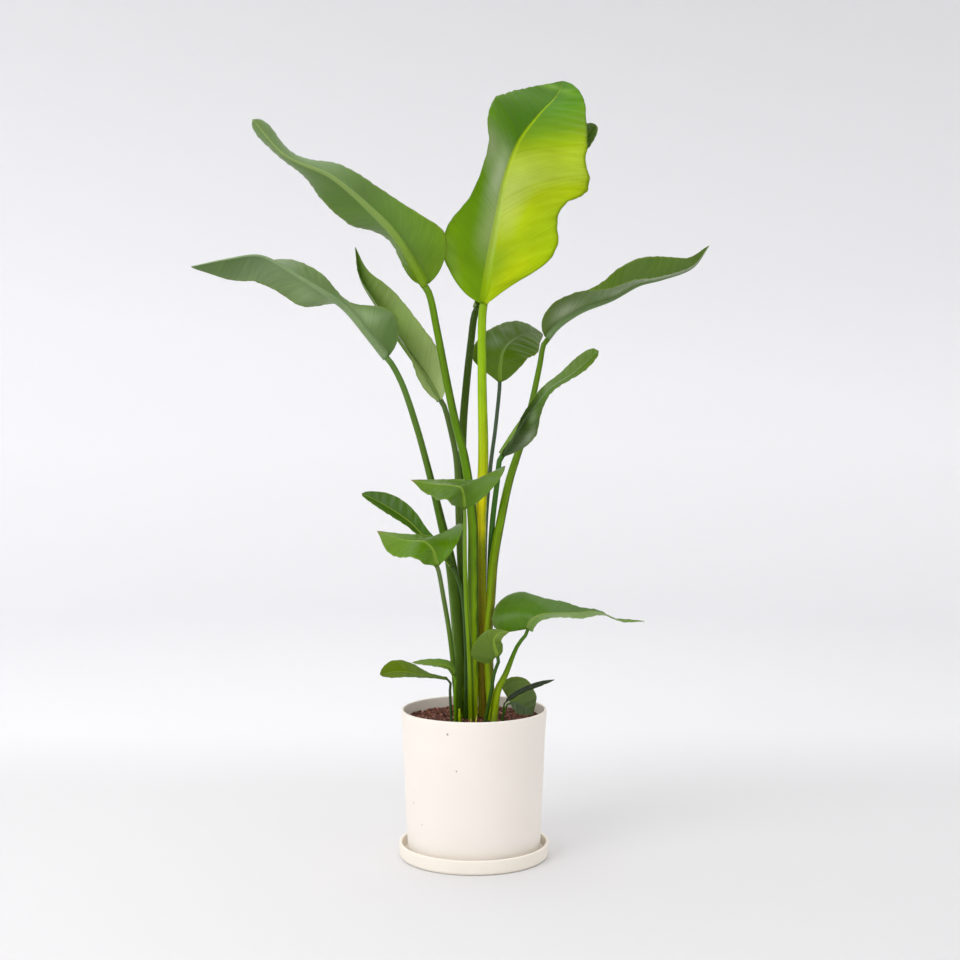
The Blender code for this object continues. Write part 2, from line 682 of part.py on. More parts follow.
def add_saucer(material):
    """Add the saucer: a flat floor and a low, nearly upright wall with a round lip."""
    lip = SAUCER_WALL / 2
    rim = (SAUCER_RADIUS - lip, SAUCER_HEIGHT - lip)
    edge = (SAUCER_BASE_RADIUS, SAUCER_EDGE_ROUND)
    fillet = SAUCER_EDGE_ROUND * 0.6
    inner = (SAUCER_RADIUS - SAUCER_WALL - fillet, SAUCER_FLOOR + fillet)
    profile = [(0, 0)]
    profile += arc(edge, SAUCER_EDGE_ROUND, -90, 0)
    profile += arc(rim, lip, 0, 180)
    profile += arc(inner, fillet, 0, -90)
    profile += [(0, SAUCER_FLOOR)]
    add_turned("saucer", profile, material)


def soil_height(x, y):
    """Return the height of the uneven soil surface."""
    wave = math.sin(x * 95 + 1.2) * math.cos(y * 80 - 0.4) + 0.6 * math.sin(y * 150 + x * 60)
    return SOIL_TOP + SOIL_BUMP * wave / 1.6


def add_soil(material):
    """Add the soil: it fills the pot up to an uneven top, with a socket for each stalk."""
    bottom = POT_BASE + POT_FLOOR + GAP
    corner = POT_FOOT_ROUND + GAP
    inner = pot_radius(bottom) - POT_WALL - GAP
    points = []
    for radius, height in arc((inner - corner, bottom + corner), corner, -90, 0):
        points += soil_ring(radius, height)
    edge = pot_radius(SOIL_TOP) - POT_WALL - 2 * GAP
    for ring in range(SOIL_RINGS, 0, -1):
        points += soil_ring(edge * ring / SOIL_RINGS, None)
    points.append((0, 0, soil_height(0, 0)))
    faces = [tuple(reversed(range(ROUND_SEGMENTS)))]
    rings = ARC_STEPS + 1 + SOIL_RINGS
    for ring in range(rings - 1):
        for k in range(ROUND_SEGMENTS):
            a = ring * ROUND_SEGMENTS + k
            b = ring * ROUND_SEGMENTS + (k + 1) % ROUND_SEGMENTS
            faces.append((a, b, b + ROUND_SEGMENTS, a + ROUND_SEGMENTS))
    last = (rings - 1) * ROUND_SEGMENTS
    for k in range(ROUND_SEGMENTS):
        faces.append((last + k, last + (k + 1) % ROUND_SEGMENTS, rings * ROUND_SEGMENTS))
    soil = add_object("soil", points, faces, material)
    cut = soil.modifiers.new("stalk sockets", "BOOLEAN")
    cut.operation = "DIFFERENCE"
    cut.solver = "EXACT"
    cut.object = add_socket_cutter()


def soil_ring(radius, height):
    """Return one ring of the soil's points, on its surface if no height is given."""
    ring = []
    for k in range(ROUND_SEGMENTS):
        turn = 2 * math.pi * k / ROUND_SEGMENTS
        x = radius * math.cos(turn)
        y = radius * math.sin(turn)
        ring.append((x, y, soil_height(x, y) if height is None else height))
    return ring


def add_socket_cutter():
    """Add the hidden cylinders that cut the stalks' sockets into the soil."""
    feet = [(values["stalk"][0], values["radii"][0]) for values in LEAVES.values()]
    feet += [(shoot["route"][0], shoot["radii"][0]) for shoot in SHOOTS.values()]
    points = []
    faces = []
    for (x, y, _), radius in feet:
        start = len(points)
        size = (radius / 1000 + SOCKET_CLEARANCE) / math.cos(math.pi / SOCKET_SIDES)
        for height in (STALK_FOOT - GAP, RIM_TOP):
            for k in range(SOCKET_SIDES):
                turn = 2 * math.pi * k / SOCKET_SIDES
                points.append((x + size * math.cos(turn), y + size * math.sin(turn), height))
        faces.append(tuple(reversed(range(start, start + SOCKET_SIDES))))
        faces.append(tuple(range(start + SOCKET_SIDES, start + 2 * SOCKET_SIDES)))
        for k in range(SOCKET_SIDES):
            a = start + k
            b = start + (k + 1) % SOCKET_SIDES
            faces.append((a, b, b + SOCKET_SIDES, a + SOCKET_SIDES))
    cutter = add_object("socket_cutter", points, faces, None)
    cutter.hide_render = True
    cutter.display_type = "WIRE"
    return cutter


def main():
    clear_scene()
    materials = make_materials()
    add_saucer(materials["saucer_ceramic"])
    add_pot(materials["pot_ceramic"])
    add_soil(materials["soil_coir"])
    add_leaves(materials)
    add_shoots(materials)


main()
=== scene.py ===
import math

import bpy
import numpy as np
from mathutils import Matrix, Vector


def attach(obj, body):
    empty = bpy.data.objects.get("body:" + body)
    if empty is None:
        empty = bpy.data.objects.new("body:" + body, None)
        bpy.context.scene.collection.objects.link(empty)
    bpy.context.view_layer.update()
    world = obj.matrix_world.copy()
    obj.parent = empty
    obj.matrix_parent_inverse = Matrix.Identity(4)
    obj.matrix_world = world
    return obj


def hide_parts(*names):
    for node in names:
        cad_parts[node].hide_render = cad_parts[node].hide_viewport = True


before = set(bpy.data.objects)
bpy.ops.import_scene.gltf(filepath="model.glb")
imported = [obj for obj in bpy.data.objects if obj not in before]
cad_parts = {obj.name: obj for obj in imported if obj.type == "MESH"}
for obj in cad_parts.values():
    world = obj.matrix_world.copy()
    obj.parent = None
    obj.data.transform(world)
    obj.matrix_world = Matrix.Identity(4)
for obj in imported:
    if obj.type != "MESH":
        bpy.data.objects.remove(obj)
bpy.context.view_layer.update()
print("frame loaded with", len(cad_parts), "nodes")


def shade(text):  # "#7a9c3f" to linear red, green and blue
    parts = [int(text[i:i + 2], 16) / 255 for i in (1, 3, 5)]
    return [c / 12.92 if c < 0.04045 else ((c + 0.055) / 1.055) ** 2.4 for c in parts]


# node tree helpers

def addNode(tree, kind, inputs=None, **settings):
    node = tree.nodes.new("ShaderNode" + kind)
    for key, value in settings.items():
        setattr(node, key, value)
    for socket, value in (inputs or {}).items():
        fill(tree, node.inputs[socket], value)
    return node


def fill(tree, socket, value):
    if isinstance(value, bpy.types.NodeSocket):
        tree.links.new(value, socket)
    elif socket.type == "RGBA" and len(value) == 3:
        socket.default_value = (*value, 1)
    else:
        socket.default_value = value


def maths(tree, operation, *values):
    node = addNode(tree, "Math", operation=operation)
    for socket, value in zip(node.inputs, values):
        fill(tree, socket, value)
    return node.outputs[0]


def times(tree, first, second):
    return maths(tree, "MULTIPLY", first, second)


def noise(tree, place, scale, detail):
    return addNode(tree, "TexNoise", {"Vector": place, "Scale": scale, "Detail": detail}).outputs["Fac"]


def lineNoise(tree, place, scale, detail):
    inputs = {"W": place, "Scale": scale, "Detail": detail}
    return addNode(tree, "TexNoise", inputs, noise_dimensions="1D").outputs["Fac"]


def adjust(tree, colour, value, saturation=1):
    inputs = {"Color": colour, "Value": value, "Saturation": saturation}
    return addNode(tree, "HueSaturation", inputs).outputs[0]


def readTint(tree):
    return addNode(tree, "Attribute", attribute_name="tint").outputs["Color"]


def objectPlace(tree):
    return addNode(tree, "TexCoord").outputs["Object"]


def surfacePlace(tree):  # across and along a leaf or a stalk
    return addNode(tree, "SeparateXYZ", {0: addNode(tree, "UVMap", uv_map="size").outputs[0]}).outputs


def mixColours(tree, factor, first, second):
    node = addNode(tree, "Mix", data_type="RGBA")
    fill(tree, node.inputs[0], factor)
    fill(tree, node.inputs[6], first)
    fill(tree, node.inputs[7], second)
    return node.outputs[2]


def rescale(tree, value, low, high, toLow, toHigh, smooth=False):
    way = "SMOOTHSTEP" if smooth else "LINEAR"
    node = addNode(tree, "MapRange", interpolation_type=way)
    for socket, number in zip(node.inputs, (value, low, high, toLow, toHigh)):
        fill(tree, socket, number)
    return node.outputs[0]


def startGroup(name, inputs, outputs):
    group = bpy.data.node_groups.new(name, "ShaderNodeTree")
    for label, number in inputs.items():
        socket = group.interface.new_socket(label, in_out="INPUT", socket_type="NodeSocketFloat")
        socket.default_value = number
    for label in outputs:
        group.interface.new_socket(label, in_out="OUTPUT", socket_type="NodeSocketFloat")
    given = group.nodes.new("NodeGroupInput").outputs
    result = group.nodes.new("NodeGroupOutput").inputs
    return group, given, result


def useGroup(tree, group, **values):
    node = addNode(tree, "Group", node_tree=group)
    for label, value in values.items():
        fill(tree, node.inputs[label], value)
    return node.outputs


# broad soft light and dark patches, around 1
def makeMottle():
    group, given, result = startGroup("mottle", {"Scale": 10, "Contrast": 0.2}, ["Tone"])
    place = objectPlace(group)
    spread = maths(group, "SUBTRACT", noise(group, place, given["Scale"], 3), 0.5)
    spread = times(group, spread, given["Contrast"])
    group.links.new(maths(group, "ADD", spread, 1), result["Tone"])
    return group


# veins that leave a midrib on both sides and sweep towards the tip
veinForm = {
    "width": 0.16, "uneven": 1.6, "clear": (0.4, 0.65), "faintest": 0.15,
    "threads": 5,  # fine threads to a vein
    "rise": 0.6, "threadRise": 0.5,
}


def makeSideVeins():
    starts = {"Across": 0, "Along": 0, "Spacing": 0.015, "Sweep": 0.5, "Waver": 0.003}
    group, given, result = startGroup("sideVeins", starts, ["Veins", "Streaks", "Height"])
    out = times(group, maths(group, "ABSOLUTE", given["Across"]), given["Sweep"])
    run = maths(group, "SUBTRACT", given["Along"], out)
    place = addNode(group, "CombineXYZ", {"X": given["Across"], "Y": given["Along"]}).outputs[0]
    waver = maths(group, "SUBTRACT", noise(group, place, 14, 2), 0.5)
    run = maths(group, "ADD", run, times(group, waver, given["Waver"]))
    run = maths(group, "DIVIDE", run, given["Spacing"])
    run = maths(group, "MULTIPLY_ADD", lineNoise(group, run, 0.6, 1), veinForm["uneven"], run)
    ripple = times(group, maths(group, "PINGPONG", run, 0.5), 2)
    veins = rescale(group, ripple, 0, veinForm["width"], 1, 0, smooth=True)
    clear = rescale(group, lineNoise(group, run, 1.3, 0), *veinForm["clear"], veinForm["faintest"], 1)
    streaks = lineNoise(group, times(group, run, veinForm["threads"]), 1, 3)
    height = times(group, ripple, veinForm["rise"])
    height = maths(group, "MULTIPLY_ADD", streaks, veinForm["threadRise"], height)
    group.links.new(times(group, veins, clear), result["Veins"])
    group.links.new(streaks, result["Streaks"])
    group.links.new(height, result["Height"])
    return group


# fine lengthwise threads, as on a stalk
def makeThreads(stretch=6):
    group, given, result = startGroup("threads", {"Around": 0, "Along": 0, "Count": 14}, ["Streaks"])
    around = times(group, given["Around"], given["Count"])
    along = times(group, given["Along"], stretch)
    place = addNode(group, "CombineXYZ", {"X": around, "Y": along}).outputs[0]
    group.links.new(noise(group, place, 1, 4), result["Streaks"])
    return group


# scattered small dark specks, and the fine grain of matt glaze
speckForm = {"raggedScale": 300, "ragged": 0.08, "softEdge": 0.06, "grainScale": 420}


def makeSpeckle():
    starts = {"Scale": 60, "Size": 0.1, "Share": 0.2}
    group, given, result = startGroup("speckle", starts, ["Specks", "Grain"])
    place = objectPlace(group)
    bend = noise(group, place, speckForm["raggedScale"], 2)
    cells = addNode(group, "TexVoronoi", {"Vector": place, "Scale": given["Scale"]})
    pick = addNode(group, "SeparateColor", {"Color": cells.outputs["Color"]}).outputs
    size = times(group, given["Size"], pick["Green"])
    distance = maths(group, "MULTIPLY_ADD", bend, speckForm["ragged"], cells.outputs["Distance"])
    distance = maths(group, "SUBTRACT", distance, size)
    inside = rescale(group, distance, 0, speckForm["softEdge"], 1, 0, smooth=True)
    chosen = maths(group, "LESS_THAN", pick["Red"], given["Share"])
    group.links.new(times(group, inside, chosen), result["Specks"])
    group.links.new(noise(group, place, speckForm["grainScale"], 3), result["Grain"])
    return group


mottle = makeMottle()
sideVeins = makeSideVeins()
threads = makeThreads()
speckle = makeSpeckle()


def startMaterial(name):
    material = bpy.data.materials.new(name)
    material.use_nodes = True
    tree = material.node_tree
    return material, tree, tree.nodes["Principled BSDF"]


def setSurface(tree, shader, colour, rough, gloss):
    fill(tree, shader.inputs["Base Color"], colour)
    fill(tree, shader.inputs["Roughness"], rough)
    shader.inputs["Specular IOR Level"].default_value = gloss


# a skin's rough says: from value to value of the grain, less and more than the roughness;
# its bump says: strength and height
def dressSurface(tree, shader, skin, colour, grain, height, roughness, gloss=0.5):
    low, high, less, more = skin["rough"]
    rough = rescale(tree, grain, low, high, roughness + less, roughness + more)
    setSurface(tree, shader, colour, rough, gloss)
    strength, distance = skin["bump"]
    bump = addNode(tree, "Bump", {"Height": height, "Strength": strength, "Distance": distance})
    tree.links.new(bump.outputs["Normal"], shader.inputs["Normal"])


# some of the light goes through a leaf
def letLightThrough(tree, shader, colour, share):
    glow = addNode(tree, "BsdfTranslucent", {"Color": colour})
    mixed = addNode(tree, "MixShader", {0: share, 1: shader.outputs[0], 2: glow.outputs[0]})
    tree.links.new(mixed.outputs[0], tree.nodes["Material Output"].inputs["Surface"])


leafSkin = {
    "patches": {"Scale": 14, "Contrast": 0.5}, "saturation": 1.15, "veinSaturation": 1.1,
    "rough": (0.2, 0.8, -0.08, 0.1), "bump": (0.35, 0.0006),
}


def makeLeafMaterial(name, spacing, sweep, contrast, veinShare, veinTone, roughness, gloss, glow):
    material, tree, shader = startMaterial(name)
    tint = readTint(tree)
    blade = addNode(tree, "Attribute", attribute_name="blade").outputs["Fac"]
    spots = surfacePlace(tree)
    veins = useGroup(tree, sideVeins, Across=spots["X"], Along=spots["Y"], Spacing=spacing, Sweep=sweep)
    tone = useGroup(tree, mottle, **leafSkin["patches"])["Tone"]
    streak = times(tree, maths(tree, "SUBTRACT", veins["Streaks"], 0.5), contrast)
    tone = maths(tree, "ADD", tone, times(tree, streak, blade))
    colour = adjust(tree, tint, tone, leafSkin["saturation"])
    lines = times(tree, times(tree, veins["Veins"], veinShare), blade)
    colour = mixColours(tree, lines, colour, adjust(tree, colour, veinTone, leafSkin["veinSaturation"]))
    height = times(tree, veins["Height"], blade)
    dressSurface(tree, shader, leafSkin, colour, veins["Streaks"], height, roughness, gloss)
    letLightThrough(tree, shader, colour, glow)
    return material


stalkSkin = {
    "patches": {"Scale": 22, "Contrast": 0.35}, "saturation": 1.15, "gloss": 0.2,
    "threads": 16, "threadContrast": 0.7, "rough": (0.2, 0.8, -0.06, 0.12), "bump": (0.35, 0.0005),
}


def makeStalkMaterial(name, roughness):
    material, tree, shader = startMaterial(name)
    spots = surfacePlace(tree)
    lines = useGroup(tree, threads, Around=spots["X"], Along=spots["Y"], Count=stalkSkin["threads"])
    lines = lines["Streaks"]
    tone = useGroup(tree, mottle, **stalkSkin["patches"])["Tone"]
    streak = maths(tree, "SUBTRACT", lines, 0.5)
    tone = maths(tree, "MULTIPLY_ADD", streak, stalkSkin["threadContrast"], tone)
    colour = adjust(tree, readTint(tree), tone, stalkSkin["saturation"])
    dressSurface(tree, shader, stalkSkin, colour, lines, lines, roughness, stalkSkin["gloss"])
    return material


glaze = {
    "patches": {"Scale": 9, "Contrast": 0.07},
    "specks": {"Scale": 70, "Size": 0.16, "Share": 0.05}, "speckShade": "#6b6248", "speckStrength": 0.75,
    "dimpleScale": 45, "grainRise": 0.25, "rough": (0.3, 0.7, -0.07, 0.08), "bump": (0.3, 0.0012),
}


def makeCeramicMaterial(name, colour, roughness):
    material, tree, shader = startMaterial(name)
    tone = useGroup(tree, mottle, **glaze["patches"])["Tone"]
    marks = useGroup(tree, speckle, **glaze["specks"])
    specks = times(tree, marks["Specks"], glaze["speckStrength"])
    colour = mixColours(tree, specks, adjust(tree, shade(colour), tone), shade(glaze["speckShade"]))
    dimples = noise(tree, objectPlace(tree), glaze["dimpleScale"], 2)
    height = maths(tree, "MULTIPLY_ADD", marks["Grain"], glaze["grainRise"], dimples)
    dressSurface(tree, shader, glaze, colour, marks["Grain"], height, roughness)
    return material


coir = {
    "patches": {"Scale": 60, "Contrast": 0.9}, "gritScale": 260, "gritTone": (0.3, 0.7, 0.55, 1.45),
    "rough": (0.3, 0.7, 0, -0.15), "bump": (0.8, 0.0015),
}


def makeSoilMaterial(name, roughness):
    material, tree, shader = startMaterial(name)
    grit = noise(tree, objectPlace(tree), coir["gritScale"], 5)
    tone = useGroup(tree, mottle, **coir["patches"])["Tone"]
    tone = times(tree, tone, rescale(tree, grit, *coir["gritTone"]))
    dressSurface(tree, shader, coir, adjust(tree, readTint(tree), tone), grit, grit, roughness)
    return material


finishes = {
    "leaf_bright": makeLeafMaterial(
        "leafBright", spacing=0.034, sweep=0.9, contrast=0.2, veinShare=0.6, veinTone=0.85,
        roughness=0.42, gloss=0.14, glow=0.2),
    "leaf_dark": makeLeafMaterial(
        "leafDark", spacing=0.013, sweep=0.8, contrast=0.5, veinShare=0.4, veinTone=1.4,
        roughness=0.32, gloss=0.3, glow=0.08),
    "leaf_grey": makeLeafMaterial(
        "leafGrey", spacing=0.012, sweep=0.8, contrast=0.45, veinShare=0.4, veinTone=1.35,
        roughness=0.4, gloss=0.3, glow=0.08),
    "stalk_bright": makeStalkMaterial("stalkBright", roughness=0.4),
    "stalk_dark": makeStalkMaterial("stalkDark", roughness=0.42),
    "sprout": makeStalkMaterial("sproutSkin", roughness=0.5),
    "pot_ceramic": makeCeramicMaterial("potCeramic", "#faf3ea", roughness=0.72),
    "saucer_ceramic": makeCeramicMaterial("saucerCeramic", "#faf3e6", roughness=0.72),
    "soil_coir": makeSoilMaterial("soilCoir", roughness=0.95),
}
print("materials made:", len(finishes))


# mesh helpers

def addPiece(name, points, faces, slot, nodes, tint=None, blade=None, size=None):
    mesh = bpy.data.meshes.new(name)
    mesh.from_pydata(np.asarray(points).tolist(), [], faces)
    mesh.shade_smooth()
    mesh.materials.append(finishes[slot])
    if tint is not None:
        colours = np.ones((len(tint), 4))
        colours[:, :3] = tint
        layer = mesh.attributes.new("tint", "FLOAT_COLOR", "POINT")
        layer.data.foreach_set("color", colours.ravel())
    if blade is not None:
        mesh.attributes.new("blade", "FLOAT", "POINT").data.foreach_set("value", blade)
    if size is not None:
        corners = np.zeros(len(mesh.loops), int)
        mesh.loops.foreach_get("vertex_index", corners)
        layer = mesh.uv_layers.new(name="size")
        layer.data.foreach_set("uv", np.asarray(size)[corners].ravel())
    piece = bpy.data.objects.new(name, mesh)
    bpy.context.scene.collection.objects.link(piece)
    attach(piece, "root")
    if nodes:
        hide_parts(*nodes)
    return piece


def smoothPath(points, count):  # count + 1 evenly spaced points, and the ways between them
    knots = np.array(points, float)
    knots = np.vstack([2 * knots[0] - knots[1], knots, 2 * knots[-1] - knots[-2]])
    fine = []
    for i in range(1, len(knots) - 2):
        fine.extend(curveStretch(knots[i - 1:i + 3]))
    fine = np.array(fine + [knots[-2]])
    steps = np.linalg.norm(np.diff(fine, axis=0), axis=1)
    run = np.concatenate([[0], np.cumsum(steps)])
    wanted = np.linspace(0, run[-1], count + 1)
    spots = np.stack([np.interp(wanted, run, fine[:, k]) for k in range(3)], axis=1)
    along = np.gradient(spots, axis=0)
    return spots, along / np.linalg.norm(along, axis=1)[:, None], run[-1]


def curveStretch(knots, count=40):
    gaps = np.sqrt(np.linalg.norm(np.diff(knots, axis=0), axis=1))
    marks = np.concatenate([[0], np.cumsum(gaps)])
    spots = []
    for now in np.linspace(marks[1], marks[2], count, endpoint=False):
        first = between(knots[0], knots[1], marks[0], marks[1], now)
        middle = between(knots[1], knots[2], marks[1], marks[2], now)
        last = between(knots[2], knots[3], marks[2], marks[3], now)
        early = between(first, middle, marks[0], marks[2], now)
        late = between(middle, last, marks[1], marks[3], now)
        spots.append(between(early, late, marks[1], marks[2], now))
    return spots


def between(a, b, start, end, now):
    share = (now - start) / (end - start)
    return a * (1 - share) + b * share


def smoothValues(values, places):  # a smooth curve through equally spaced values
    values = np.array(values, float)
    if len(values) == 1:
        return np.repeat(values, len(places), axis=0)
    spots = places * (len(values) - 1)
    start = np.minimum(spots.astype(int), len(values) - 2)
    u = spots - start
    if values.ndim > 1:
        u = u[:, None]
    before = values[np.maximum(start - 1, 0)]
    here = values[start]
    after = values[start + 1]
    beyond = values[np.minimum(start + 2, len(values) - 1)]
    bend = 2 * before - 5 * here + 4 * after - beyond
    twist = -before + 3 * here - 3 * after + beyond
    return 0.5 * (2 * here + (after - before) * u + bend * u ** 2 + twist * u ** 3)


def blendShades(texts, places):  # colours at equal steps, read at places from 0 to 1
    colours = np.array([shade(text) for text in texts.split()])
    steps = np.linspace(0, 1, len(colours)) if len(colours) > 1 else [0]
    return np.stack([np.interp(places, steps, colours[:, k]) for k in range(3)], axis=1)


def ease(distance, length, power):
    share = np.minimum(distance / length, 1.0)
    return (1 - (1 - share) ** 2) ** power


def waves(places, count, seed):  # an uneven ripple between about -1 and 1
    total = np.sin(2 * math.pi * (count * places + seed))
    total = total + 0.6 * np.sin(2 * math.pi * (1.73 * count * places + 2.1 * seed + 0.3))
    return (total + 0.4 * np.sin(2 * math.pi * (2.9 * count * places + 3.7 * seed))) / 1.6


def ringFaces(rings, turns):  # joins rings of points into a tube, and closes both its ends
    faces = [tuple(reversed(range(turns)))]
    for ring in range(rings - 1):
        for k in range(turns):
            a = ring * turns + k
            b = ring * turns + (k + 1) % turns
            faces.append((a, b, b + turns, a + turns))
    faces.append(tuple(range((rings - 1) * turns, rings * turns)))
    return faces


def circle(radius, turn, height):
    return np.stack([radius * np.cos(turn), radius * np.sin(turn), np.full(len(turn), height)], axis=1)


def closedSheet(upper, lower):  # joins two grids, indexed by column and row, round their edges
    columns, rows, _ = upper.shape
    points = np.concatenate([upper.reshape(-1, 3), lower.reshape(-1, 3)])
    under = columns * rows
    faces = []
    for i in range(columns - 1):
        for j in range(rows - 1):
            a = i * rows + j
            b = a + rows
            faces.append((a, b, b + 1, a + 1))
            faces.append((a + under, a + 1 + under, b + 1 + under, b + under))
    for i in range(columns - 1):
        a = i * rows
        b = a + rows
        faces.append((b, a, a + under, b + under))
        faces.append((a + rows - 1, b + rows - 1, b + rows - 1 + under, a + rows - 1 + under))
    for j in range(rows - 1):
        a = (columns - 1) * rows + j
        faces.append((j, j + 1, j + 1 + under, j + under))
        faces.append((a + 1, a, a + under, a + 1 + under))
    return points, faces


# what all the leaves share, and what a leaf below may leave out; a key that ends with Left or
# Right is for one half; the points of stalks and midribs, the widths and the radii are millimetres
leafBasics = {
    "fold": [15],  # angle of a half from flat, degrees
    "curl": [0],  # further bend out to the margin, degrees
    "wave": (0, 0, 0),  # margin ripples: height, count, start
    "sweep": 0,  # lean of a half along the midrib
    "lobe": 0,  # how far the base of a half reaches back, metres
    "spread": 0, "baseRound": 0.16, "tipRound": 0.4, "tipPower": 0.75,
    "bladeFinish": "leaf_dark", "stalkFinish": "stalk_dark",
    "upper": "#48691f #4c6e22", "under": "#64803a #6a8545",  # colours, base to tip
    "ribUpper": "#86a04a", "ribUnder": "#7d9a4e",
    "margin": "#7b8f3c", "dryTip": 0.01,
    "pleat": 0.0007, "pleatGap": 0.016, "pleatLean": 0.5,
    "ragged": 0.012,
    "tintLean": 0.15,  # how far the colours sweep towards the tip on the way out
    "patches": [],  # soft patches of painted light and shade, mostly painted gloss highlights: half, place, share of width, their two reaches, colour, strength
    "stripesAndShade": [],  # lengthwise bands on the stalk, the sheath's own colours and painted shade down a shaded side: turn and reach in degrees, colour, heights it runs between
    "stem": "#48691f #4f7a22", "seamShade": "#3a5a1c", "seamTurn": 20, "sheathTop": 0.45,
}
bladeGrid = {
    "rowStep": 0.0036, "thickness": 0.0006, "leastReach": 0.035, "leastWidth": 0.55, "raggedCount": 9,
    # the middle of the rib is darkened a little: painted shade in its groove
    "ribTip": 0.0009, "ribTaper": 1.3, "widestRib": 0.22, "groove": 0.22, "paintedGrooveShade": 0.94,
    "ribStops": [0.35, 0.7, 1.0, 1.3],
    "bladeStops": [0.1, 0.2, 0.3, 0.4, 0.5, 0.6, 0.7, 0.79, 0.87, 0.94, 1.0],
    "marginStart": 0.93, "marginReach": 0.07, "marginShare": 0.6,
    "dryShade": "#8a6f45", "dryFade": 0.02, "dryShare": 0.85,
}


def ofHalf(leaf, key, side):  # what one half says, or else what both say
    return leaf.get(key + side, leaf[key])


def bladeFrame(leaf, rows):
    spots, along, length = smoothPath(leaf["midrib"], rows)
    places = np.linspace(0, 1, rows + 1)
    reach = max(round(leaf["spread"] * rows), round(bladeGrid["leastReach"] * rows))
    spread = np.array([along[max(0, i - reach):i + reach + 1].mean(axis=0) for i in range(rows + 1)])
    spread[0] = along[0]
    along = spread / np.linalg.norm(spread, axis=1)[:, None]
    face = smoothValues(leaf["face"], places)
    up = face - np.sum(face * along, axis=1)[:, None] * along
    up /= np.linalg.norm(up, axis=1)[:, None]
    return places, spots, along, up, np.cross(along, up), length


# one lengthwise row of a half's upper face, with its outward ways and distance from the midrib
def bladeColumn(leaf, rig, rib, side, share, seed):
    places, spots, along, up, right, length = rig
    way = -1 if side == "Left" else 1
    baseRound = ease(places, leaf["baseRound"], 0.5)
    outline = baseRound * ease(1 - places, leaf["tipRound"], leaf["tipPower"])
    width = smoothValues(leaf[side.lower()], places) / 1000 * outline
    width = np.maximum(width, rib * bladeGrid["leastWidth"])
    width = width * (1 + leaf["ragged"] * waves(places, bladeGrid["raggedCount"], seed) * outline)
    fold = np.radians(smoothValues(ofHalf(leaf, "fold", side), places))
    curl = np.radians(smoothValues(ofHalf(leaf, "curl", side), places))
    curl = np.where(np.abs(curl) < 1e-4, 1e-4, curl)
    angle = fold + curl * share
    across = width * (np.sin(angle) - np.sin(fold)) / curl
    above = width * (np.cos(fold) - np.cos(angle)) / curl
    height, count, start = ofHalf(leaf, "wave", side)
    ripple = height * share ** 2 * outline * np.sin(2 * math.pi * (count * places + start))
    run = places * length - width * share * leaf["pleatLean"]
    ripple += leaf["pleat"] * waves(run / leaf["pleatGap"], 1, seed) * outline * np.minimum(share * 2, 1)
    across = (across - ripple * np.sin(angle))[:, None] * way
    above = (above + ripple * np.cos(angle) + rib / 2)[:, None]
    lobe = ofHalf(leaf, "lobe", side) * (1 - places) ** 5 * baseRound
    lean = ofHalf(leaf, "sweep", side) * width * share * places - lobe * share ** 2
    column = spots + up * above + right * across + along * lean[:, None]
    outward = up * np.cos(angle)[:, None] - way * right * np.sin(angle)[:, None]
    return column, outward, way * width * share, width


def growBlade(name, leaf, seed):
    rows = max(24, round(smoothPath(leaf["midrib"], 8)[2] / bladeGrid["rowStep"]))
    rig = bladeFrame(leaf, rows)
    places, length = rig[0], rig[-1]
    thin = bladeGrid["ribTip"]
    rib = thin + (2 * leaf["radii"][-1] / 1000 - thin) * (1 - places) ** bladeGrid["ribTaper"]
    columns = []
    for side in ("Left", "Right"):
        width = bladeColumn(leaf, rig, rib, side, 0.5, seed)[3]
        ribShare = np.minimum(rib / 2 / width, bladeGrid["widestRib"])
        foot = ribShare * bladeGrid["ribStops"][-1]
        half = [(ribShare * stop, min(stop, 1), stop <= 1) for stop in bladeGrid["ribStops"]]
        half += [(foot + (1 - foot) * stop, 1, False) for stop in bladeGrid["bladeStops"]]
        if side == "Left":
            half.reverse()
        else:
            columns.append(ribMiddle(leaf, rig, rib))
        for share, near, onRib in half:
            column, outward, distance, width = bladeColumn(leaf, rig, rib, side, share, seed)
            depth = np.minimum(bladeGrid["thickness"], width / 2)
            depth = depth + np.maximum(rib - depth, 0) * math.sqrt(1 - near ** 2)
            columns.append((
                column - outward * (rib * bladeGrid["groove"] * (1 - near ** 2))[:, None],
                column - outward * depth[:, None],
                bladeTint(leaf, places, side, share, onRib, "upper"),
                bladeTint(leaf, places, side, share, onRib, "under"),
                np.full(rows + 1, 0.0 if onRib else 1.0),
                np.stack([distance, places * length], axis=1),
            ))
    upper, lower, tints, unders, blades, sizes = zip(*columns)
    points, faces = closedSheet(np.array(upper), np.array(lower))
    addPiece("leaf_" + name, points, faces, leaf["bladeFinish"], ["blade_" + name],
             np.concatenate(tints + unders), np.concatenate(blades * 2), np.concatenate(sizes * 2))


def ribMiddle(leaf, rig, rib):
    places, spots, _, up, _, length = rig
    return (
        spots + up * (rib * (0.5 - bladeGrid["groove"]))[:, None],
        spots - up * (rib / 2)[:, None],
        # the rib's middle lies in the groove and is darkened: painted shade
        blendShades(leaf["ribUpper"], places) * bladeGrid["paintedGrooveShade"],
        blendShades(leaf["ribUnder"], places),
        np.zeros(len(places)),
        np.stack([np.zeros(len(places)), places * length], axis=1),
    )


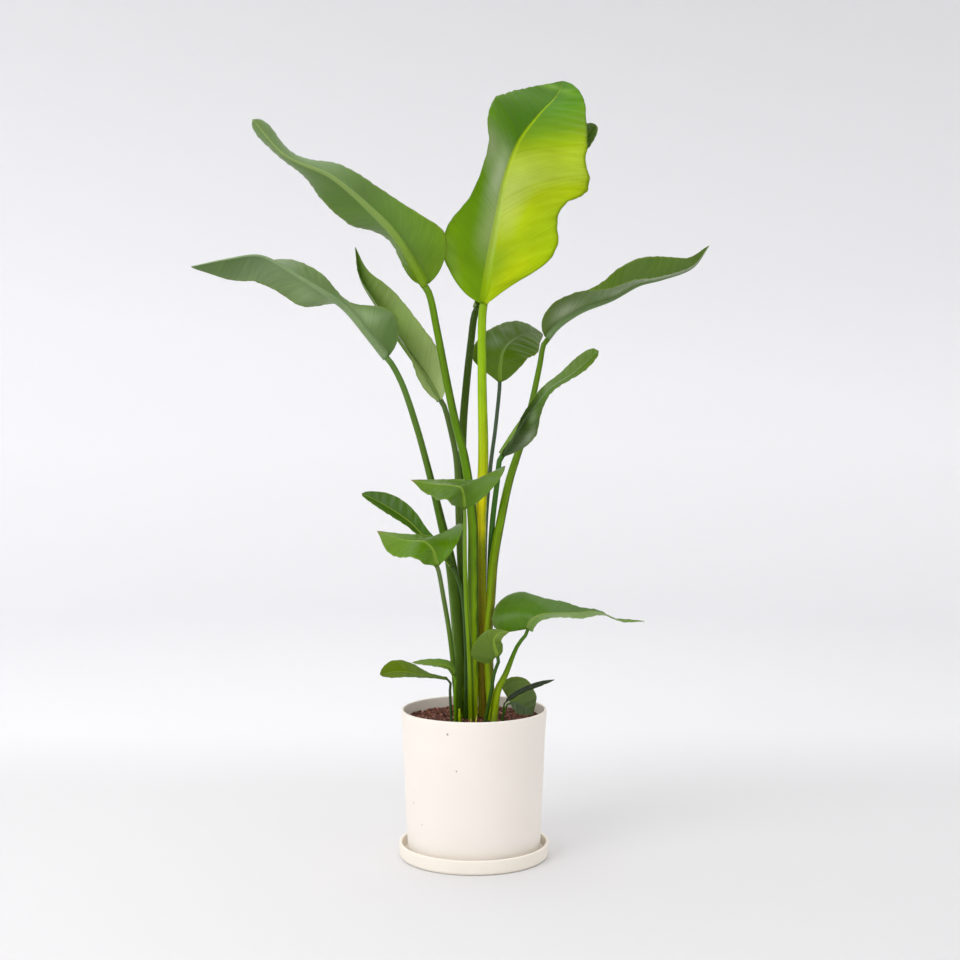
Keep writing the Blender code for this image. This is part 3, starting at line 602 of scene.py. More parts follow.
def bladeTint(leaf, places, side, share, onRib, face):
    if onRib:
        return blendShades(leaf["rib" + face.capitalize()], places)
    own = blendShades(ofHalf(leaf, face, side), np.clip(places - leaf["tintLean"] * share, 0, 1))
    # soft patches of painted light and shade, mostly painted gloss highlights, mixed into a half's colour
    for half, place, out, run, reach, text, strength in leaf["patches"]:
        if half == side:
            part = strength * np.exp(-((places - place) / run) ** 2 - ((share - out) / reach) ** 2)
            own = mixIn(own, text, part)
    edge = np.clip((share - bladeGrid["marginStart"]) / bladeGrid["marginReach"], 0, 1)
    dry = np.clip((places - 1 + leaf["dryTip"]) / bladeGrid["dryFade"], 0, 1)
    own = mixIn(own, leaf["margin"], edge * bladeGrid["marginShare"])
    return mixIn(own, bladeGrid["dryShade"], dry * bladeGrid["dryShare"])


def mixIn(own, text, part):
    return own * (1 - part)[:, None] + np.array(shade(text)) * part[:, None]


# a stalk is a rolled sheath with a ledge low down, and a grooved round stem higher up
stalkGrid = {
    "sides": 28, "ringStep": 0.012,
    "depth": 0.016,  # how far a stalk reaches down into the soil
    "lead": 2.5,  # straight run before the blade, in radii
    "ledge": 0.16, "groove": 0.12, "grooveReach": 0.45, "sheathFade": 0.12,
    "stripeFade": 0.03, "stripeWaver": 0.25, "waverCount": 140,
    "seamReach": (4.0, 1.2), "seamShare": (0.8, 0.5),  # on the two sides of the ledge
}


def growStalk(leaf, route, end=None, way=None, seed=0.0):
    radii = leaf["radii"]
    route = list(np.array(route) / 1000)
    foot = route[0] - (0, 0, stalkGrid["depth"])
    if end is not None:
        lead = way * radii[-1] / 1000 * stalkGrid["lead"]
        route += [end - lead, end]
    length = sum(math.dist(a, b) for a, b in zip(route, route[1:]))
    count = max(6, round(length / stalkGrid["ringStep"]))
    spots, along, _ = smoothPath(route, count)
    along[0] = (0, 0, 1)
    if way is not None:
        along[-1] = way
    spots = np.vstack([foot, spots])
    along = np.vstack([along[:1], along])
    places = np.concatenate([[0], np.linspace(0, 1, count + 1)])
    sizes = smoothValues(radii, places) / 1000
    sides = stalkGrid["sides"]
    around = np.arange(sides + 1) / sides
    seam = math.radians(leaf["seamTurn"])
    points, tints, corners = [], [], []
    for spot, tangent, size, place in zip(spots, along, sizes, places):
        side = np.cross((0, 1, 0), tangent)
        side /= np.linalg.norm(side)
        front = np.cross(side, tangent)
        front *= np.sign(-front[1]) or 1
        sheath = 1 - np.clip((spot[2] - leaf["sheathTop"]) / stalkGrid["sheathFade"] + 0.5, 0, 1)
        turn = seam + 2 * math.pi * around
        swell = 1 + stalkGrid["ledge"] * sheath * (around - 0.5)
        hollow = np.exp(-((turn - seam - math.pi) / stalkGrid["grooveReach"]) ** 2)
        swell = (size * (swell - stalkGrid["groove"] * (1 - sheath) * hollow))[:, None]
        points.append(spot + swell * (np.sin(turn)[:, None] * side + np.cos(turn)[:, None] * front))
        own = blendShades(leaf["stem"], np.full(sides + 1, place))
        # lengthwise bands: the sheath's own colours, and painted shade down the shaded side of some stalks
        for angle, reach, text, low, high in leaf["stripesAndShade"]:
            off = np.abs((turn - math.radians(angle) + math.pi) % (2 * math.pi) - math.pi)
            waver = math.sin(spot[2] * stalkGrid["waverCount"] + angle)
            reach = math.radians(reach) * (1 + stalkGrid["stripeWaver"] * waver)
            ends = np.array([spot[2] - low, high - spot[2]]) / stalkGrid["stripeFade"]
            own = mixIn(own, text, np.clip(1.5 - off / reach, 0, 1) * np.clip(ends, 0, 1).prod())
        seamPart = 0
        for off, reach, part in zip((around, 1 - around), stalkGrid["seamReach"], stalkGrid["seamShare"]):
            seamPart = seamPart + sheath * np.exp(-(off * sides / reach) ** 2) * part
        tints.append(mixIn(own, leaf["seamShade"], np.clip(seamPart, 0, 1)))
        corners.append(np.stack([around, np.full(sides + 1, place * length + seed)], axis=1))
    faces = ringFaces(len(points), sides + 1)
    return np.concatenate(points), faces, np.concatenate(tints), np.concatenate(corners)


grown = []


def growLeaf(name, own):
    leaf = {**leafBasics, **own, "midrib": np.array(own["midrib"]) / 1000}
    seed = 0.37 * len(grown) + 0.11
    growBlade(name, leaf, seed)
    way = smoothPath(leaf["midrib"], 40)[1][0]
    points, faces, tint, size = growStalk(leaf, leaf["stalk"], leaf["midrib"][0], way, seed)
    addPiece("stem_" + name, points, faces, leaf["stalkFinish"], ["stalk_" + name], tint, size=size)
    grown.append(name)


tallFront = {
    "stalk": [(17, 2, 240), (14, 4, 370), (12, 8, 507), (12, 6, 576), (16, 5, 678), (14, 10, 818)],
    "radii": [8.5, 8.8, 9, 9, 7.8, 7], "midrib": [(17, 18, 944), (28, 22, 1020), (42, 35, 1098),
        (54, 55, 1162), (78, 90, 1229), (114, 135, 1284), (147, 190, 1328), (164, 235, 1366)],
    "face": [(0, -1, .15), (0, -1, .2), (0, -1, .3), (.05, -1, .5), (.1, -.8, .7), (.1, -.7, .7)],
    "left": [85, 93, 96, 77, 54, 46, 50, 70, 78, 72, 70, 62, 30], "right": [40, 112, 102, 144, 112, 82, 70],
    "foldLeft": [10, 12, 25, 35, 25, 10, 5], "foldRight": [20, 15, 5, 0, 0, 5, 10],
    "curlLeft": [-10, -10, -10, -10], "curlRight": [-20, -15, -10, -10], "waveLeft": (.003, 2.2, .1),
    "waveRight": (.006, 2.6, .55), "baseRound": .3, "tipRound": .3, "tipPower": .6,
    "bladeFinish": "leaf_bright", "stalkFinish": "stalk_bright",
    "upper": "#749c1c #689418 #66941a #64902e #5c842a #528010 #508008 #50800a #487610",
    "upperRight": "#b0cc20 #acc814 #b8cc3c #bcd060 #b4c854 #78a404 #5c9400 #528804 #447808",
    # the patches are painted light and shade: mostly gloss highlights near the rib and on the left half, a
    # highlight band along the crest where the tip bends back, and painted shade high on the left half where
    # it turns at a fold
    "tintLean": 0.2, "patches": [("Right", .33, .15, .16, .3, "#d0dc90", .5),
        ("Right", .12, .6, .07, .25, "#d8e070", .5), ("Right", .13, .1, .06, .2, "#8cb00c", .6),
        ("Left", .5, .9, .07, .35, "#a4ac8c", .7), ("Left", .43, .3, .11, .35, "#c0cca8", .8),
        ("Left", .25, .1, .12, .3, "#b4c090", .6), ("Left", .12, .9, .1, .3, "#a4c468", .7),
        ("Left", .68, .2, .12, .5, "#4c8004", .6), ("Left", .94, .5, .02, .6, "#98b868", .6),
        ("Right", .93, .3, .02, .5, "#98b868", .5)], "under": "#8fae4a #7d9c3c",
    "ribUpper": "#9cbc34 #b8d068 #c4d878 #c0d460 #accc3c #a0c034 #789c10", "ribUnder": "#a9c25a",
    "margin": "#64881c", "pleat": 0.0012, "pleatGap": 0.024,
    # of the bands below, the yellow one is the sheath's own yellow made brighter against the shade of the
    # leaves above, painted light; the dark one at 80 degrees is painted shade on the stalk's shaded side;
    # the brown ones are the sheath's own colour
    "stem": "#9c9050 #949418 #a0b00c #b4c40c #94bc04 #84a814", "stripesAndShade": [(-20, 70, "#f0e830", .53, .66),
        (-60, 25, "#a8a840", .22, .36), (60, 60, "#706a40", .22, .36), (10, 14, "#8c7438", .22, .42),
        (80, 25, "#6c8c08", .6, .95)], "seamShade": "#8c8030", "seamTurn": -25, "sheathTop": 0.55,
    "dryTip": 0,
}
growLeaf("tall_front", tallFront)

tallBack = {
    "stalk": [(-17, 36, 240), (-21, 46, 574), (-19, 50, 732), (-12, 55, 819), (-5, 62, 883)],
    "radii": [8, 7.5, 7, 6], "midrib": [(6, 72, 940), (40, 120, 1020), (88, 165, 1105), (150, 195, 1187),
        (192, 208, 1242), (221, 215, 1284)], "face": [(0, -1, .2), (-.2, -.8, .7), (-.4, -.5, .8),
        (-.5, -.8, .4)], "left": [40, 60, 55, 30], "right": [30, 45, 40, 32], "foldLeft": [50, 50, 60, 70],
    "foldRight": [50, 50, 30, 10], "tipRound": .2, "tipPower": .5, "upper": "#586c38 #607840",
    "under": "#586c3c #5c7444", "stem": "#46661c #46621e #42581e #3c501c", "seamTurn": 40, "dryTip": 0,
}
growLeaf("tall_back", tallBack)

upperLeft = {
    "stalk": [(-2, -4, 240), (-1, -10, 370), (-1, -12, 508), (-2, -10, 577), (-15, -6, 678), (-32, -6, 746),
        (-46, -8, 814), (-62, -14, 898)], "radii": [9, 9, 8.5, 7.5, 6.5, 6], "midrib": [(-82, -20, 971),
        (-108, -35, 1017), (-137, -50, 1060), (-167, -65, 1090), (-232, -90, 1143), (-305, -105, 1175),
        (-357, -110, 1232)], "face": [(.45, .85, .25), (.45, .87, .24), (.1, .98, 0), (-.1, .98, -.1),
        (0, 1, 0), (0, 1, .1)], "left": [62, 72, 50, 52, 56, 50, 46, 46], "right": [56, 62, 68, 60, 40, 44],
    "foldLeft": [25, 38, 45, 42, 40, 25], "foldRight": [25, 46, 50, 55, 50, 25],
    "curl": [0, 0, 0, 20, 80, 100], "baseRound": .2, "tipRound": .08, "tipPower": .5,
    "bladeFinish": "leaf_grey", "stalkFinish": "stalk_bright", "upper": "#4e7424 #587a34",
    "under": "#6c8c34 #688742 #5f7d3a #6c8650 #748a5c #6c8450",
    "ribUnder": "#7fa034 #86a05a #8ea468 #8c9f66",
    # the stem's lowest colours are raised against the shade at the foot of the clump, painted light; the
    # dark band at 70 degrees is painted shade on the stalk's shaded side
    "stem": "#b0c838 #94bc14 #709c14 #5c8418 #5e8020 #6a8a38", "stripesAndShade": [(70, 32, "#44600f", .3, .95),
        (-35, 18, "#84a024", .25, .6)], "seamTurn": -60, "sheathTop": 0.6, "dryTip": 0,
}
growLeaf("upper_left", upperLeft)

farLeft = {
    "stalk": [(-24, 2, 240), (-26, 1, 370), (-37, -3, 489), (-56, -8, 576), (-81, -22, 679),
        (-97, -32, 738), (-120, -42, 807)], "radii": [9, 10.5, 11, 8, 6, 5.5, 5],
    "midrib": [(-145, -50, 850), (-176, -55, 888), (-216, -60, 934), (-252, -66, 960), (-286, -73, 981),
        (-322, -80, 1003), (-352, -87, 1015), (-405, -94, 1008), (-460, -100, 996)],
    "face": [(.38, .88, .28), (.38, .88, .28), (.1, 1, .1), (0, 1, 0), (-.1, 1, .2), (-.1, .9, .2)],
    "left": [45, 54, 24, 28, 40, 50, 46, 32], "right": [34, 50, 40, 50, 48, 50, 52, 36],
    "foldLeft": [20, 30, 82, 40, 62, 110, 110, 110], "foldRight": [50, 55, 75, 35, 35, 25, 15, 15],
    "baseRound": .12, "bladeFinish": "leaf_grey", "upper": "#5c7a40 #647f4a #66804e",
    "under": "#5c7642 #7c9460 #72885a #7c9068 #62784c #5c744a",
    # the patches are painted gloss highlights
    "patches": [("Left", .2, .4, .06, .3, "#a0b48c", .5), ("Right", .45, .5, .05, .4, "#98ac84", .5)],
    "ribUnder": "#7d9466 #8fa47c", "ribUpper": "#93a87c", "stem": "#40581a #465e1c #4c6a26 #587434 #5c7840",
    # the dark band at 45 degrees is painted shade on the stalk's shaded side
    "seamTurn": 70, "sheathTop": 0.5, "stripesAndShade": [(-60, 22, "#5f7840", .28, .5),
        (45, 20, "#33480f", .3, .7), (75, 30, "#88a818", .2, .34)],
}
growLeaf("far_left", farLeft)

innerLeft = {
    "stalk": [(-14, 20, 240), (-21, 19, 437), (-26, 20, 575), (-30, 22, 678), (-38, 26, 720)],
    "radii": [6.5, 6, 5.5, 4.5], "midrib": [(-57, 30, 780), (-86, 36, 829), (-128, 45, 885),
        (-166, 55, 940), (-196, 62, 990), (-206, 66, 1045)], "face": [(-.4, -.9, .2), (-.4, -.9, .2),
        (-.2, -.9, .4), (.2, -.9, .4)], "left": [25, 40, 42, 35, 20], "right": [40, 50, 46, 34, 14],
    "foldLeft": [60, 105, 90, 75], "foldRight": [20, 15, 15, 30], "baseRound": .25,
    "bladeFinish": "leaf_grey", "upper": "#b2c48a #aabe80 #9cb470 #88a058 #6a8840 #54742c",
    "under": "#70885a #6a8454 #587244 #4c683a", "ribUpper": "#9ab070 #8ea468",
    "stem": "#405c1c #4a6424 #5a7038 #546838",
}
growLeaf("inner_left", innerLeft)

farRight = {
    "stalk": [(31, -19, 240), (24, -18, 373), (29, -14, 441), (34, -10, 508), (46, -3, 576), (61, 7, 644),
        (88, 18, 729), (113, 28, 840)], "radii": [7.5, 8, 7.8, 7, 5.5, 4.5], "midrib": [(127, 30, 885),
        (144, 30, 905), (183, 28, 931), (236, 22, 951), (282, 10, 975), (320, 0, 984), (370, -8, 1003),
        (396, -15, 1039)], "face": [(-.5, .05, .87), (-.5, 0, .87), (-.5, -.12, .87), (-.5, -.25, .87),
        (-.5, -.4, .87), (-.5, -.4, .87), (-.5, -.3, .87)], "left": [30, 46, 46, 52, 50, 42, 26],
    "right": [44, 50, 48, 38, 40, 40, 24], "foldLeft": [44, 36, 34, 38, 34, 30, 30],
    "foldRight": [44, 40, 36, 34, 30, 28, 25], "upper": "#546c28 #567024 #4e6a1c #486216 #466014",
    "under": "#5c7238 #68804c #6c8050 #687c48 #607440",
    # the patches are painted whitish highlights on the right half
    "patches": [("Right", .16, .35, .07, .3, "#b4c0a4", .6), ("Right", .45, .3, .05, .3, "#a0ae8c", .4)],
    "ribUnder": "#70885a", "stem": "#90b018 #90b010 #749820 #5c7c24 #5a7630",
    # the dark band at 75 degrees is painted shade on the stalk's shaded side; the brownish band is the
    # sheath edge's own colour
    "stripesAndShade": [(75, 30, "#4c5c12", .24, .8), (-60, 14, "#84782c", .3, .47)], "seamTurn": 15,
    "sheathTop": 0.5, "seamShade": "#6c6428",
}
growLeaf("far_right", farRight)

backRight = {
    "stalk": [(18, 28, 240), (18, 40, 434), (21, 55, 572), (30, 65, 676), (37, 70, 728)],
    "radii": [4.5, 4, 3.6, 3.4], "midrib": [(45, 80, 812), (46, 86, 840), (52, 100, 868), (70, 125, 888),
        (98, 150, 902), (124, 170, 900)], "face": [(0, -1, .1), (0, -1, .3), (-.1, -.9, .5),
        (-.2, -.8, .6)], "left": [20, 52, 48, 42, 40, 34], "right": [30, 40, 46, 50, 44, 36], "fold": [5],
    "curl": [-10], "baseRound": .3, "spread": 0.1, "upper": "#587420 #587428 #5c7434 #607640",
    "under": "#64804a", "patches": [("Left", .4, .45, .08, .3, "#94a486", .55),
        ("Left", .62, .6, .05, .3, "#8c9c7c", .5)], "ribUpper": "#7d9a3c #7c9458 #5a7040",
    "stem": "#34501f #40583a #4c5c48 #50604c", "pleat": 0.0012, "pleatGap": 0.02,
}
growLeaf("back_right", backRight)

twistedRight = {
    "stalk": [(30, 14, 240), (27, 12, 438), (28, 8, 507), (32, -4, 576), (40, -20, 645)],
    "radii": [6, 5.2, 4.8, 4.5], "midrib": [(49, -30, 688), (77, -40, 735), (100, -48, 764),
        (128, -58, 798), (163, -68, 822), (206, -80, 860)], "face": [(0, -1, .1), (0, -1, .1),
        (-.3, -.8, .5), (-.49, -.57, .66), (-.49, -.57, .66), (-.49, -.57, .66)],
    "left": [20, 22, 12, 12, 20, 18], "right": [16, 27, 37, 58, 28, 22, 34, 32],
    "foldLeft": [70, 85, 70, 20, 15, 15], "foldRight": [10, 5, 30, 15, 15, 15], "curl": [10],
    "tipRound": .12, "upper": "#4e6438 #506634 #5f7a3e #607a38 #5c7630", "under": "#56724a #607c4c",
    # the patches are a painted highlight along the lower margin, and a pale streak
    "patches": [("Right", .22, .75, .1, .2, "#a8b49c", .6), ("Right", .36, .3, .05, .3, "#94a484", .5)],
    "ribUpper": "#7c9468", "stem": "#3a5c24 #3f642c #466a30", "tipPower": .4, "dryTip": 0,
}
growLeaf("twisted_right", twistedRight)

frontUpper = {
    "stalk": [(-4, -22, 240), (-6, -50, 344), (-12, -88, 450), (-14, -115, 519)],
    "radii": [5.5, 5, 4.2, 3.5, 3], "midrib": [(-15, -140, 605), (-17, -147, 623), (-21, -149, 637),
        (-38, -142, 641), (-67, -127, 643), (-102, -112, 649)], "face": [(0, -1, .1), (.45, -.55, .75),
        (.15, -.38, 1), (0, -.5, 1), (0, -.4, 1)], "left": [12, 38, 42, 26, 20, 10],
    "right": [54, 116, 112, 82, 44, 20], "foldLeft": [5, -5, -18, -24, -20, -8],
    "foldRight": [5, 5, -4, -14, -14, -5], "curlLeft": [-5], "curlRight": [8, 8, 0, 0], "sweepRight": -0.55,
    "spread": 0.3, "upper": "#547818 #507216 #5c7a28 #648038", "under": "#5f7e24 #587820 #607c2c #6c8440",
    "ribUnder": "#84a048", "ribUpper": "#84a048", "margin": "#93aa5c", "dryTip": 0.07,
    "stem": "#809c18 #7a9a20 #76963a #78944a", "baseRound": .4,
}
growLeaf("front_upper", frontUpper)

frontLower = {
    "stalk": [(-28, -20, 240), (-31, -36, 291), (-36, -55, 354), (-41, -73, 399), (-49, -97, 452)],
    "radii": [4.5, 4.2, 4, 3.6], "midrib": [(-60, -125, 511), (-64, -130, 523), (-69, -134, 538),
        (-82, -133, 549), (-106, -124, 550), (-133, -115, 556), (-158, -105, 565)], "face": [(0, -1, .1),
        (.45, -.55, .75), (.15, -.38, 1), (0, -.5, 1), (0, -.4, 1)], "left": [14, 38, 42, 36, 30, 14],
    "right": [44, 94, 96, 70, 40, 20], "foldLeft": [5, -5, -18, -24, -20, -8],
    "foldRight": [5, 5, -4, -14, -14, -5], "curlLeft": [-5], "curlRight": [6, 6, 0, 0], "sweepRight": -0.65,
    "spread": 0.3, "upper": "#5e8622 #5a8020 #6c8c38 #7c9850", "under": "#6c8f30 #688a2e #729040 #7f9850",
    "ribUnder": "#88a44c", "ribUpper": "#88a44c", "margin": "#9ab064", "dryTip": 0.06,
    "stem": "#546c26 #607a38 #647648", "baseRound": .4,
}
growLeaf("front_lower", frontLower)

narrowLeft = {
    "stalk": [(-13, -17, 240), (-14, -28, 373), (-21, -38, 458)], "radii": [3, 3, 3, 2.8],
    "midrib": [(-38, -50, 502), (-60, -52, 529), (-87, -50, 554), (-107, -45, 574), (-129, -40, 590),
        (-158, -32, 607), (-189, -25, 622)], "face": [(.3, -.7, .5)], "left": [9, 11, 14, 22, 24, 20],
    "right": [8, 10, 14, 22, 24, 18], "fold": [30], "tipPower": .5,
    "upper": "#3a5a18 #50742c #4c6c28 #44661c #48681e", "under": "#64804a",
    "stem": "#36541f #405c2c #46602e",
}
growLeaf("narrow_left", narrowLeft)

lowLeft = {
    "stalk": [(-38, -32, 240), (-40, -40, 290)], "radii": [2.6, 2.4, 2.2], "midrib": [(-45, -45, 311),
        (-82, -50, 317), (-124, -55, 325), (-157, -60, 321)], "face": [(0, -.6, 1), (0, -.7, 1)],
    "left": [3, 6, 12, 18, 12], "right": [3, 6, 18, 24, 16], "curl": [-10], "tipRound": .2, "tipPower": .5,
    "bladeFinish": "leaf_bright", "upper": "#788a5c #748a4c #6c8230 #647a24", "under": "#68805a #6c8460",
    "stem": "#4c5c3c #42503a",
}
growLeaf("low_left", lowLeft)

lowLeftSmall = {
    "stalk": [(-30, -41, 240), (-31, -56, 293)], "radii": [3.5, 3.2, 3], "midrib": [(-34, -66, 322),
        (-43, -71, 334), (-70, -75, 341), (-102, -78, 344)], "face": [(-.3, -.5, 1), (0, -.5, 1)],
    "left": [8, 10, 8, 8], "right": [12, 14, 10, 8], "curl": [-10], "bladeFinish": "leaf_bright",
    "stalkFinish": "stalk_bright", "upper": "#6c8c44 #7c9a54 #8ca264", "under": "#6c8a4a",
    "stem": "#5c8424 #648c2c",
}
growLeaf("low_left_small", lowLeftSmall)

lowRight = {
    "stalk": [(34, -36, 240), (40, -42, 290), (53, -46, 318), (74, -50, 369)],
    "radii": [6.8, 6.6, 5, 3.6, 3], "midrib": [(91, -50, 396), (95, -53, 408), (106, -56, 416),
        (125, -58, 421), (174, -62, 424), (208, -65, 426), (240, -68, 414), (284, -72, 412)],
    "face": [(0, -1, .1), (0, -.7, .7), (0, -.4, .9), (0, -.35, 1), (0, -.35, 1), (0, -.1, 1), (0, .1, 1),
        (0, -.4, 1), (0, -.4, 1)], "left": [40, 66, 48, 36, 16, 10, 8, 7, 6],
    "right": [14, 26, 36, 24, 22, 22, 14, 8, 6], "foldLeft": [5], "foldRight": [40, 20, 0, 0, 0],
    "baseRound": .06, "stalkFinish": "stalk_bright", "spread": 0.1, "lobeLeft": 0.055,
    "upper": "#55782a #4f7426 #4c6e22 #557628 #5c7a30 #5c7838",
    "upperRight": "#7c985a #809a5c #728e48 #6c8a40 #64803c", "under": "#7a9456 #6c8850",
    "ribUpper": "#8aa05c #7d9450", "margin": "#90a468", "stem": "#8fa84a #9ab23c #6f8c30 #54782c #507030",
    "seamTurn": 60, "sheathTop": 0.3,
}
growLeaf("low_right", lowRight)

lowFront = {
    "stalk": [(20, -43, 240), (30, -53, 295), (35, -60, 325)], "radii": [3.5, 3, 3],
    "midrib": [(40, -70, 354), (35, -75, 371), (34, -80, 384), (42, -80, 393), (59, -75, 395)],
    "face": [(-.1, -1, .1), (-.1, -1, .1), (-.4, -.7, .6)], "left": [22, 42, 24, 8, 6],
    "right": [10, 14, 12, 8], "fold": [10], "curl": [-20], "lobeLeft": 0.02, "spread": 0.15,
    "upper": "#587030 #667e38 #728644", "under": "#587440 #607c48", "stem": "#3c5c26 #3f5c2e",
}
growLeaf("low_front", lowFront)

potRight = {
    "stalk": [(48, -30, 240)], "radii": [1.8, 1.6], "midrib": [(62, -26, 266), (71, -25, 267),
        (86, -24, 259), (101, -22, 247)], "face": [(0, -1, .3), (.2, -1, .3), (.3, -1, .4)],
    "left": [38, 44, 34, 26, 14], "right": [14, 18, 14, 9], "lobeLeft": 0.02,
    "upper": "#6c8440 #647844 #5c7044 #586844", "under": "#3c5430", "upperRight": "#58684a #50603e",
    "ribUpper": "#64785a", "pleat": 0.0016, "pleatGap": 0.012, "stem": "#4c6c28 #4c6c28",
}
growLeaf("pot_right", potRight)

spike = {
    "stalk": [(49, -52, 240)], "radii": [1.6, 1.4], "midrib": [(55, -60, 276), (79, -60, 291),
        (108, -60, 303), (135, -60, 312)], "face": [(0, -.7, .7)], "left": [5, 6, 5], "right": [5, 6, 5],
    "fold": [25], "upper": "#1c2614 #283020 #303a2c", "under": "#2c3428", "ribUpper": "#3c4834",
    "stem": "#3c5428",
}
growLeaf("spike", spike)

# short shoots at the foot of the clump
shoots = {
    "cut_sheath": {
        "route": [(-23, -50, 240), (-24, -52, 262)], "radii": [3, 2.8, 1.5], "finish": "stalk_bright",
        "stem": "#7f9a2c #9fb53c #a8b84a", "seamTurn": 30,
    },
    "sprout_left": {
        "route": [(-4, -62, 240), (-5, -63, 247)], "radii": [1.6, 1.4, .5], "finish": "sprout",
        "stem": "#a8a64a #c9c766 #d8d68a", "seamTurn": 0,
    },
    "sprout_right": {
        "route": [(4, -58, 240), (5, -58, 251)], "radii": [1.8, 1.5, .5], "finish": "sprout",
        "stem": "#a8a64a #c9c766 #d8d68a", "seamTurn": 60,
    },
}
for name, own in shoots.items():
    leaf = {**leafBasics, **own}
    points, faces, tint, size = growStalk(leaf, leaf["route"])
    addPiece("shoot_" + name, points, faces, leaf["finish"], [name], tint, size=size)
print("leaves and shoots grown:", len(grown), "and", len(shoots))


# pot and saucer
ceramic = {
    "turns": 160,
    "potHeight": 0.2465, "potRim": 0.125, "potFoot": 0.1125, "potWall": 0.0048, "potFloor": 0.008,
    "footRound": 0.006, "potBase": 0.0065,
    "saucerHeight": 0.025, "saucerRim": 0.1285, "saucerBase": 0.1225, "saucerWall": 0.005,
    "saucerFloor": 0.0062, "saucerRound": 0.0055,
    "hub": 0.02, "step": 0.012, "wobble": 0.0005,
}


def roundCorner(centre, radius, start, end, steps=9):
    turns = np.radians(np.linspace(start, end, steps + 1))
    return [(centre[0] + radius * math.cos(turn), centre[1] + radius * math.sin(turn)) for turn in turns]


def denser(profile, step):  # adds points to a profile's long straight runs
    full = [profile[0]]
    for start, end in zip(profile, profile[1:]):
        parts = max(1, math.ceil(math.dist(start, end) / step))
        for k in range(1, parts + 1):
            full.append(tuple(a + (b - a) * k / parts for a, b in zip(start, end)))
    return full


def turnPiece(profile, wobble, seed):
    around = np.arange(ceramic["turns"]) / ceramic["turns"]
    turn = 2 * math.pi * around
    points = []
    for radius, height in denser(profile, ceramic["step"]):
        thrown = np.sin(2 * math.pi * (2 * around + seed + height * 3))
        thrown = thrown + 0.5 * np.sin(2 * math.pi * (5 * around + height * 9))
        points.append(circle(radius + wobble * thrown * min(radius / 0.1, 1), turn, height))
    return np.concatenate(points), ringFaces(len(points), len(turn))


def potRadius(height):
    share = (height - ceramic["potBase"]) / ceramic["potHeight"]
    return ceramic["potFoot"] + (ceramic["potRim"] - ceramic["potFoot"]) * share


def makePot():
    c = ceramic
    lip = c["potWall"] / 2
    rimTop = c["potBase"] + c["potHeight"]
    footHeight = c["potBase"] + c["footRound"]
    floorTop = c["potBase"] + c["potFloor"]
    profile = [(c["hub"], c["potBase"])]
    profile += roundCorner((potRadius(footHeight) - c["footRound"], footHeight), c["footRound"], -90, 0)
    profile += roundCorner((c["potRim"] - lip, rimTop - lip), lip, 0, 180, 12)
    inner = (potRadius(floorTop) - c["potWall"] - c["footRound"], floorTop + c["footRound"])
    profile += roundCorner(inner, c["footRound"], 0, -90)
    profile += [(c["hub"], floorTop)]
    points, faces = turnPiece(profile, c["wobble"], seed=0.15)
    addPiece("pot_body", points, faces, "pot_ceramic", ["pot"])


def makeSaucer():
    c = ceramic
    lip = c["saucerWall"] / 2
    edge = (c["saucerBase"], c["saucerRound"])
    fillet = c["saucerRound"] * 0.6
    profile = [(c["hub"], 0)]
    profile += roundCorner(edge, c["saucerRound"], -90, 0)
    profile += roundCorner((c["saucerRim"] - lip, c["saucerHeight"] - lip), lip, 0, 180, 12)
    inner = (c["saucerRim"] - c["saucerWall"] - fillet, c["saucerFloor"] + fillet)
    profile += roundCorner(inner, fillet, 0, -90)
    profile += [(c["hub"], c["saucerFloor"])]
    points, faces = turnPiece(profile, c["wobble"] * 0.6, seed=0.6)
    addPiece("saucer_dish", points, faces, "saucer_ceramic", ["saucer"])


makePot()
makeSaucer()
print("pot and saucer turned")


# soil: a bumpy bed, with bark chips and coir threads lying on it
soil = {
    "top": 0.235, "bump": 0.0022, "fineShare": 0.35, "mound": 0.003, "moundReach": 0.05,
    "rings": 60, "turns": 144, "bedShades": "#4a2415 #5e3020",
    "gap": 0.0006, "chipGap": 0.0005,  # clear of the inside of the pot
    "chips": 2600, "chipLength": (0.002, 0.0075),
    "chipWide": (0.35, 0.4), "chipDeep": (0.12, 0.2),  # least share of the length, and what may be added
    "chipShades": "#5a2a1a #7a4230 #8f5540 #6b3826 #a06a52 #45200f #b07a68", "chipTone": (0.75, 0.5),
    "chipTaper": ((-0.5, 0.45), (0.0, 1.0), (0.5, 0.5)),  # place along a chip, and thickness there
    "pitch": 0.35, "tilt": 0.3, "jitter": 0.25,
    "threads": 700, "threadLength": (0.005, 0.009), "threadThick": 0.0003,
    "threadShade": 4, "threadTone": (0.7, 0.8),
}


def soilHeight(x, y):
    broad = np.sin(x * 95 + 1.2) * np.cos(y * 80 - 0.4) + 0.6 * np.sin(y * 150 + x * 60)
    fine = np.sin(x * 610 + 2 * np.sin(y * 330)) * np.sin(y * 570 + 2 * np.sin(x * 290))
    mound = np.exp(-(x ** 2 + y ** 2) / soil["moundReach"] ** 2) - 0.4
    bumps = broad / 1.6 + soil["fineShare"] * fine
    return soil["top"] + soil["bump"] * bumps + soil["mound"] * mound


def makeSoilBed():
    edge = potRadius(soil["top"]) - ceramic["potWall"] - soil["gap"]
    bottom = ceramic["potBase"] + ceramic["potFloor"] + 0.0005
    turn = 2 * math.pi * np.arange(soil["turns"]) / soil["turns"]
    points = [circle(potRadius(bottom) - ceramic["potWall"] - 0.007, turn, bottom)]
    for ring in range(soil["rings"]):
        x, y, _ = circle(edge * (1 - ring / soil["rings"]), turn, 0).T
        points.append(np.stack([x, y, soilHeight(x, y)], axis=1))
    faces = ringFaces(len(points), len(turn))
    points = np.concatenate(points)
    tint = blendShades(soil["bedShades"], np.random.default_rng(4).random(len(points)))
    addPiece("soil_bed", points, faces, "soil_coir", ["soil"], tint)


def draw(rng, least, more):
    return least + more * rng.random()


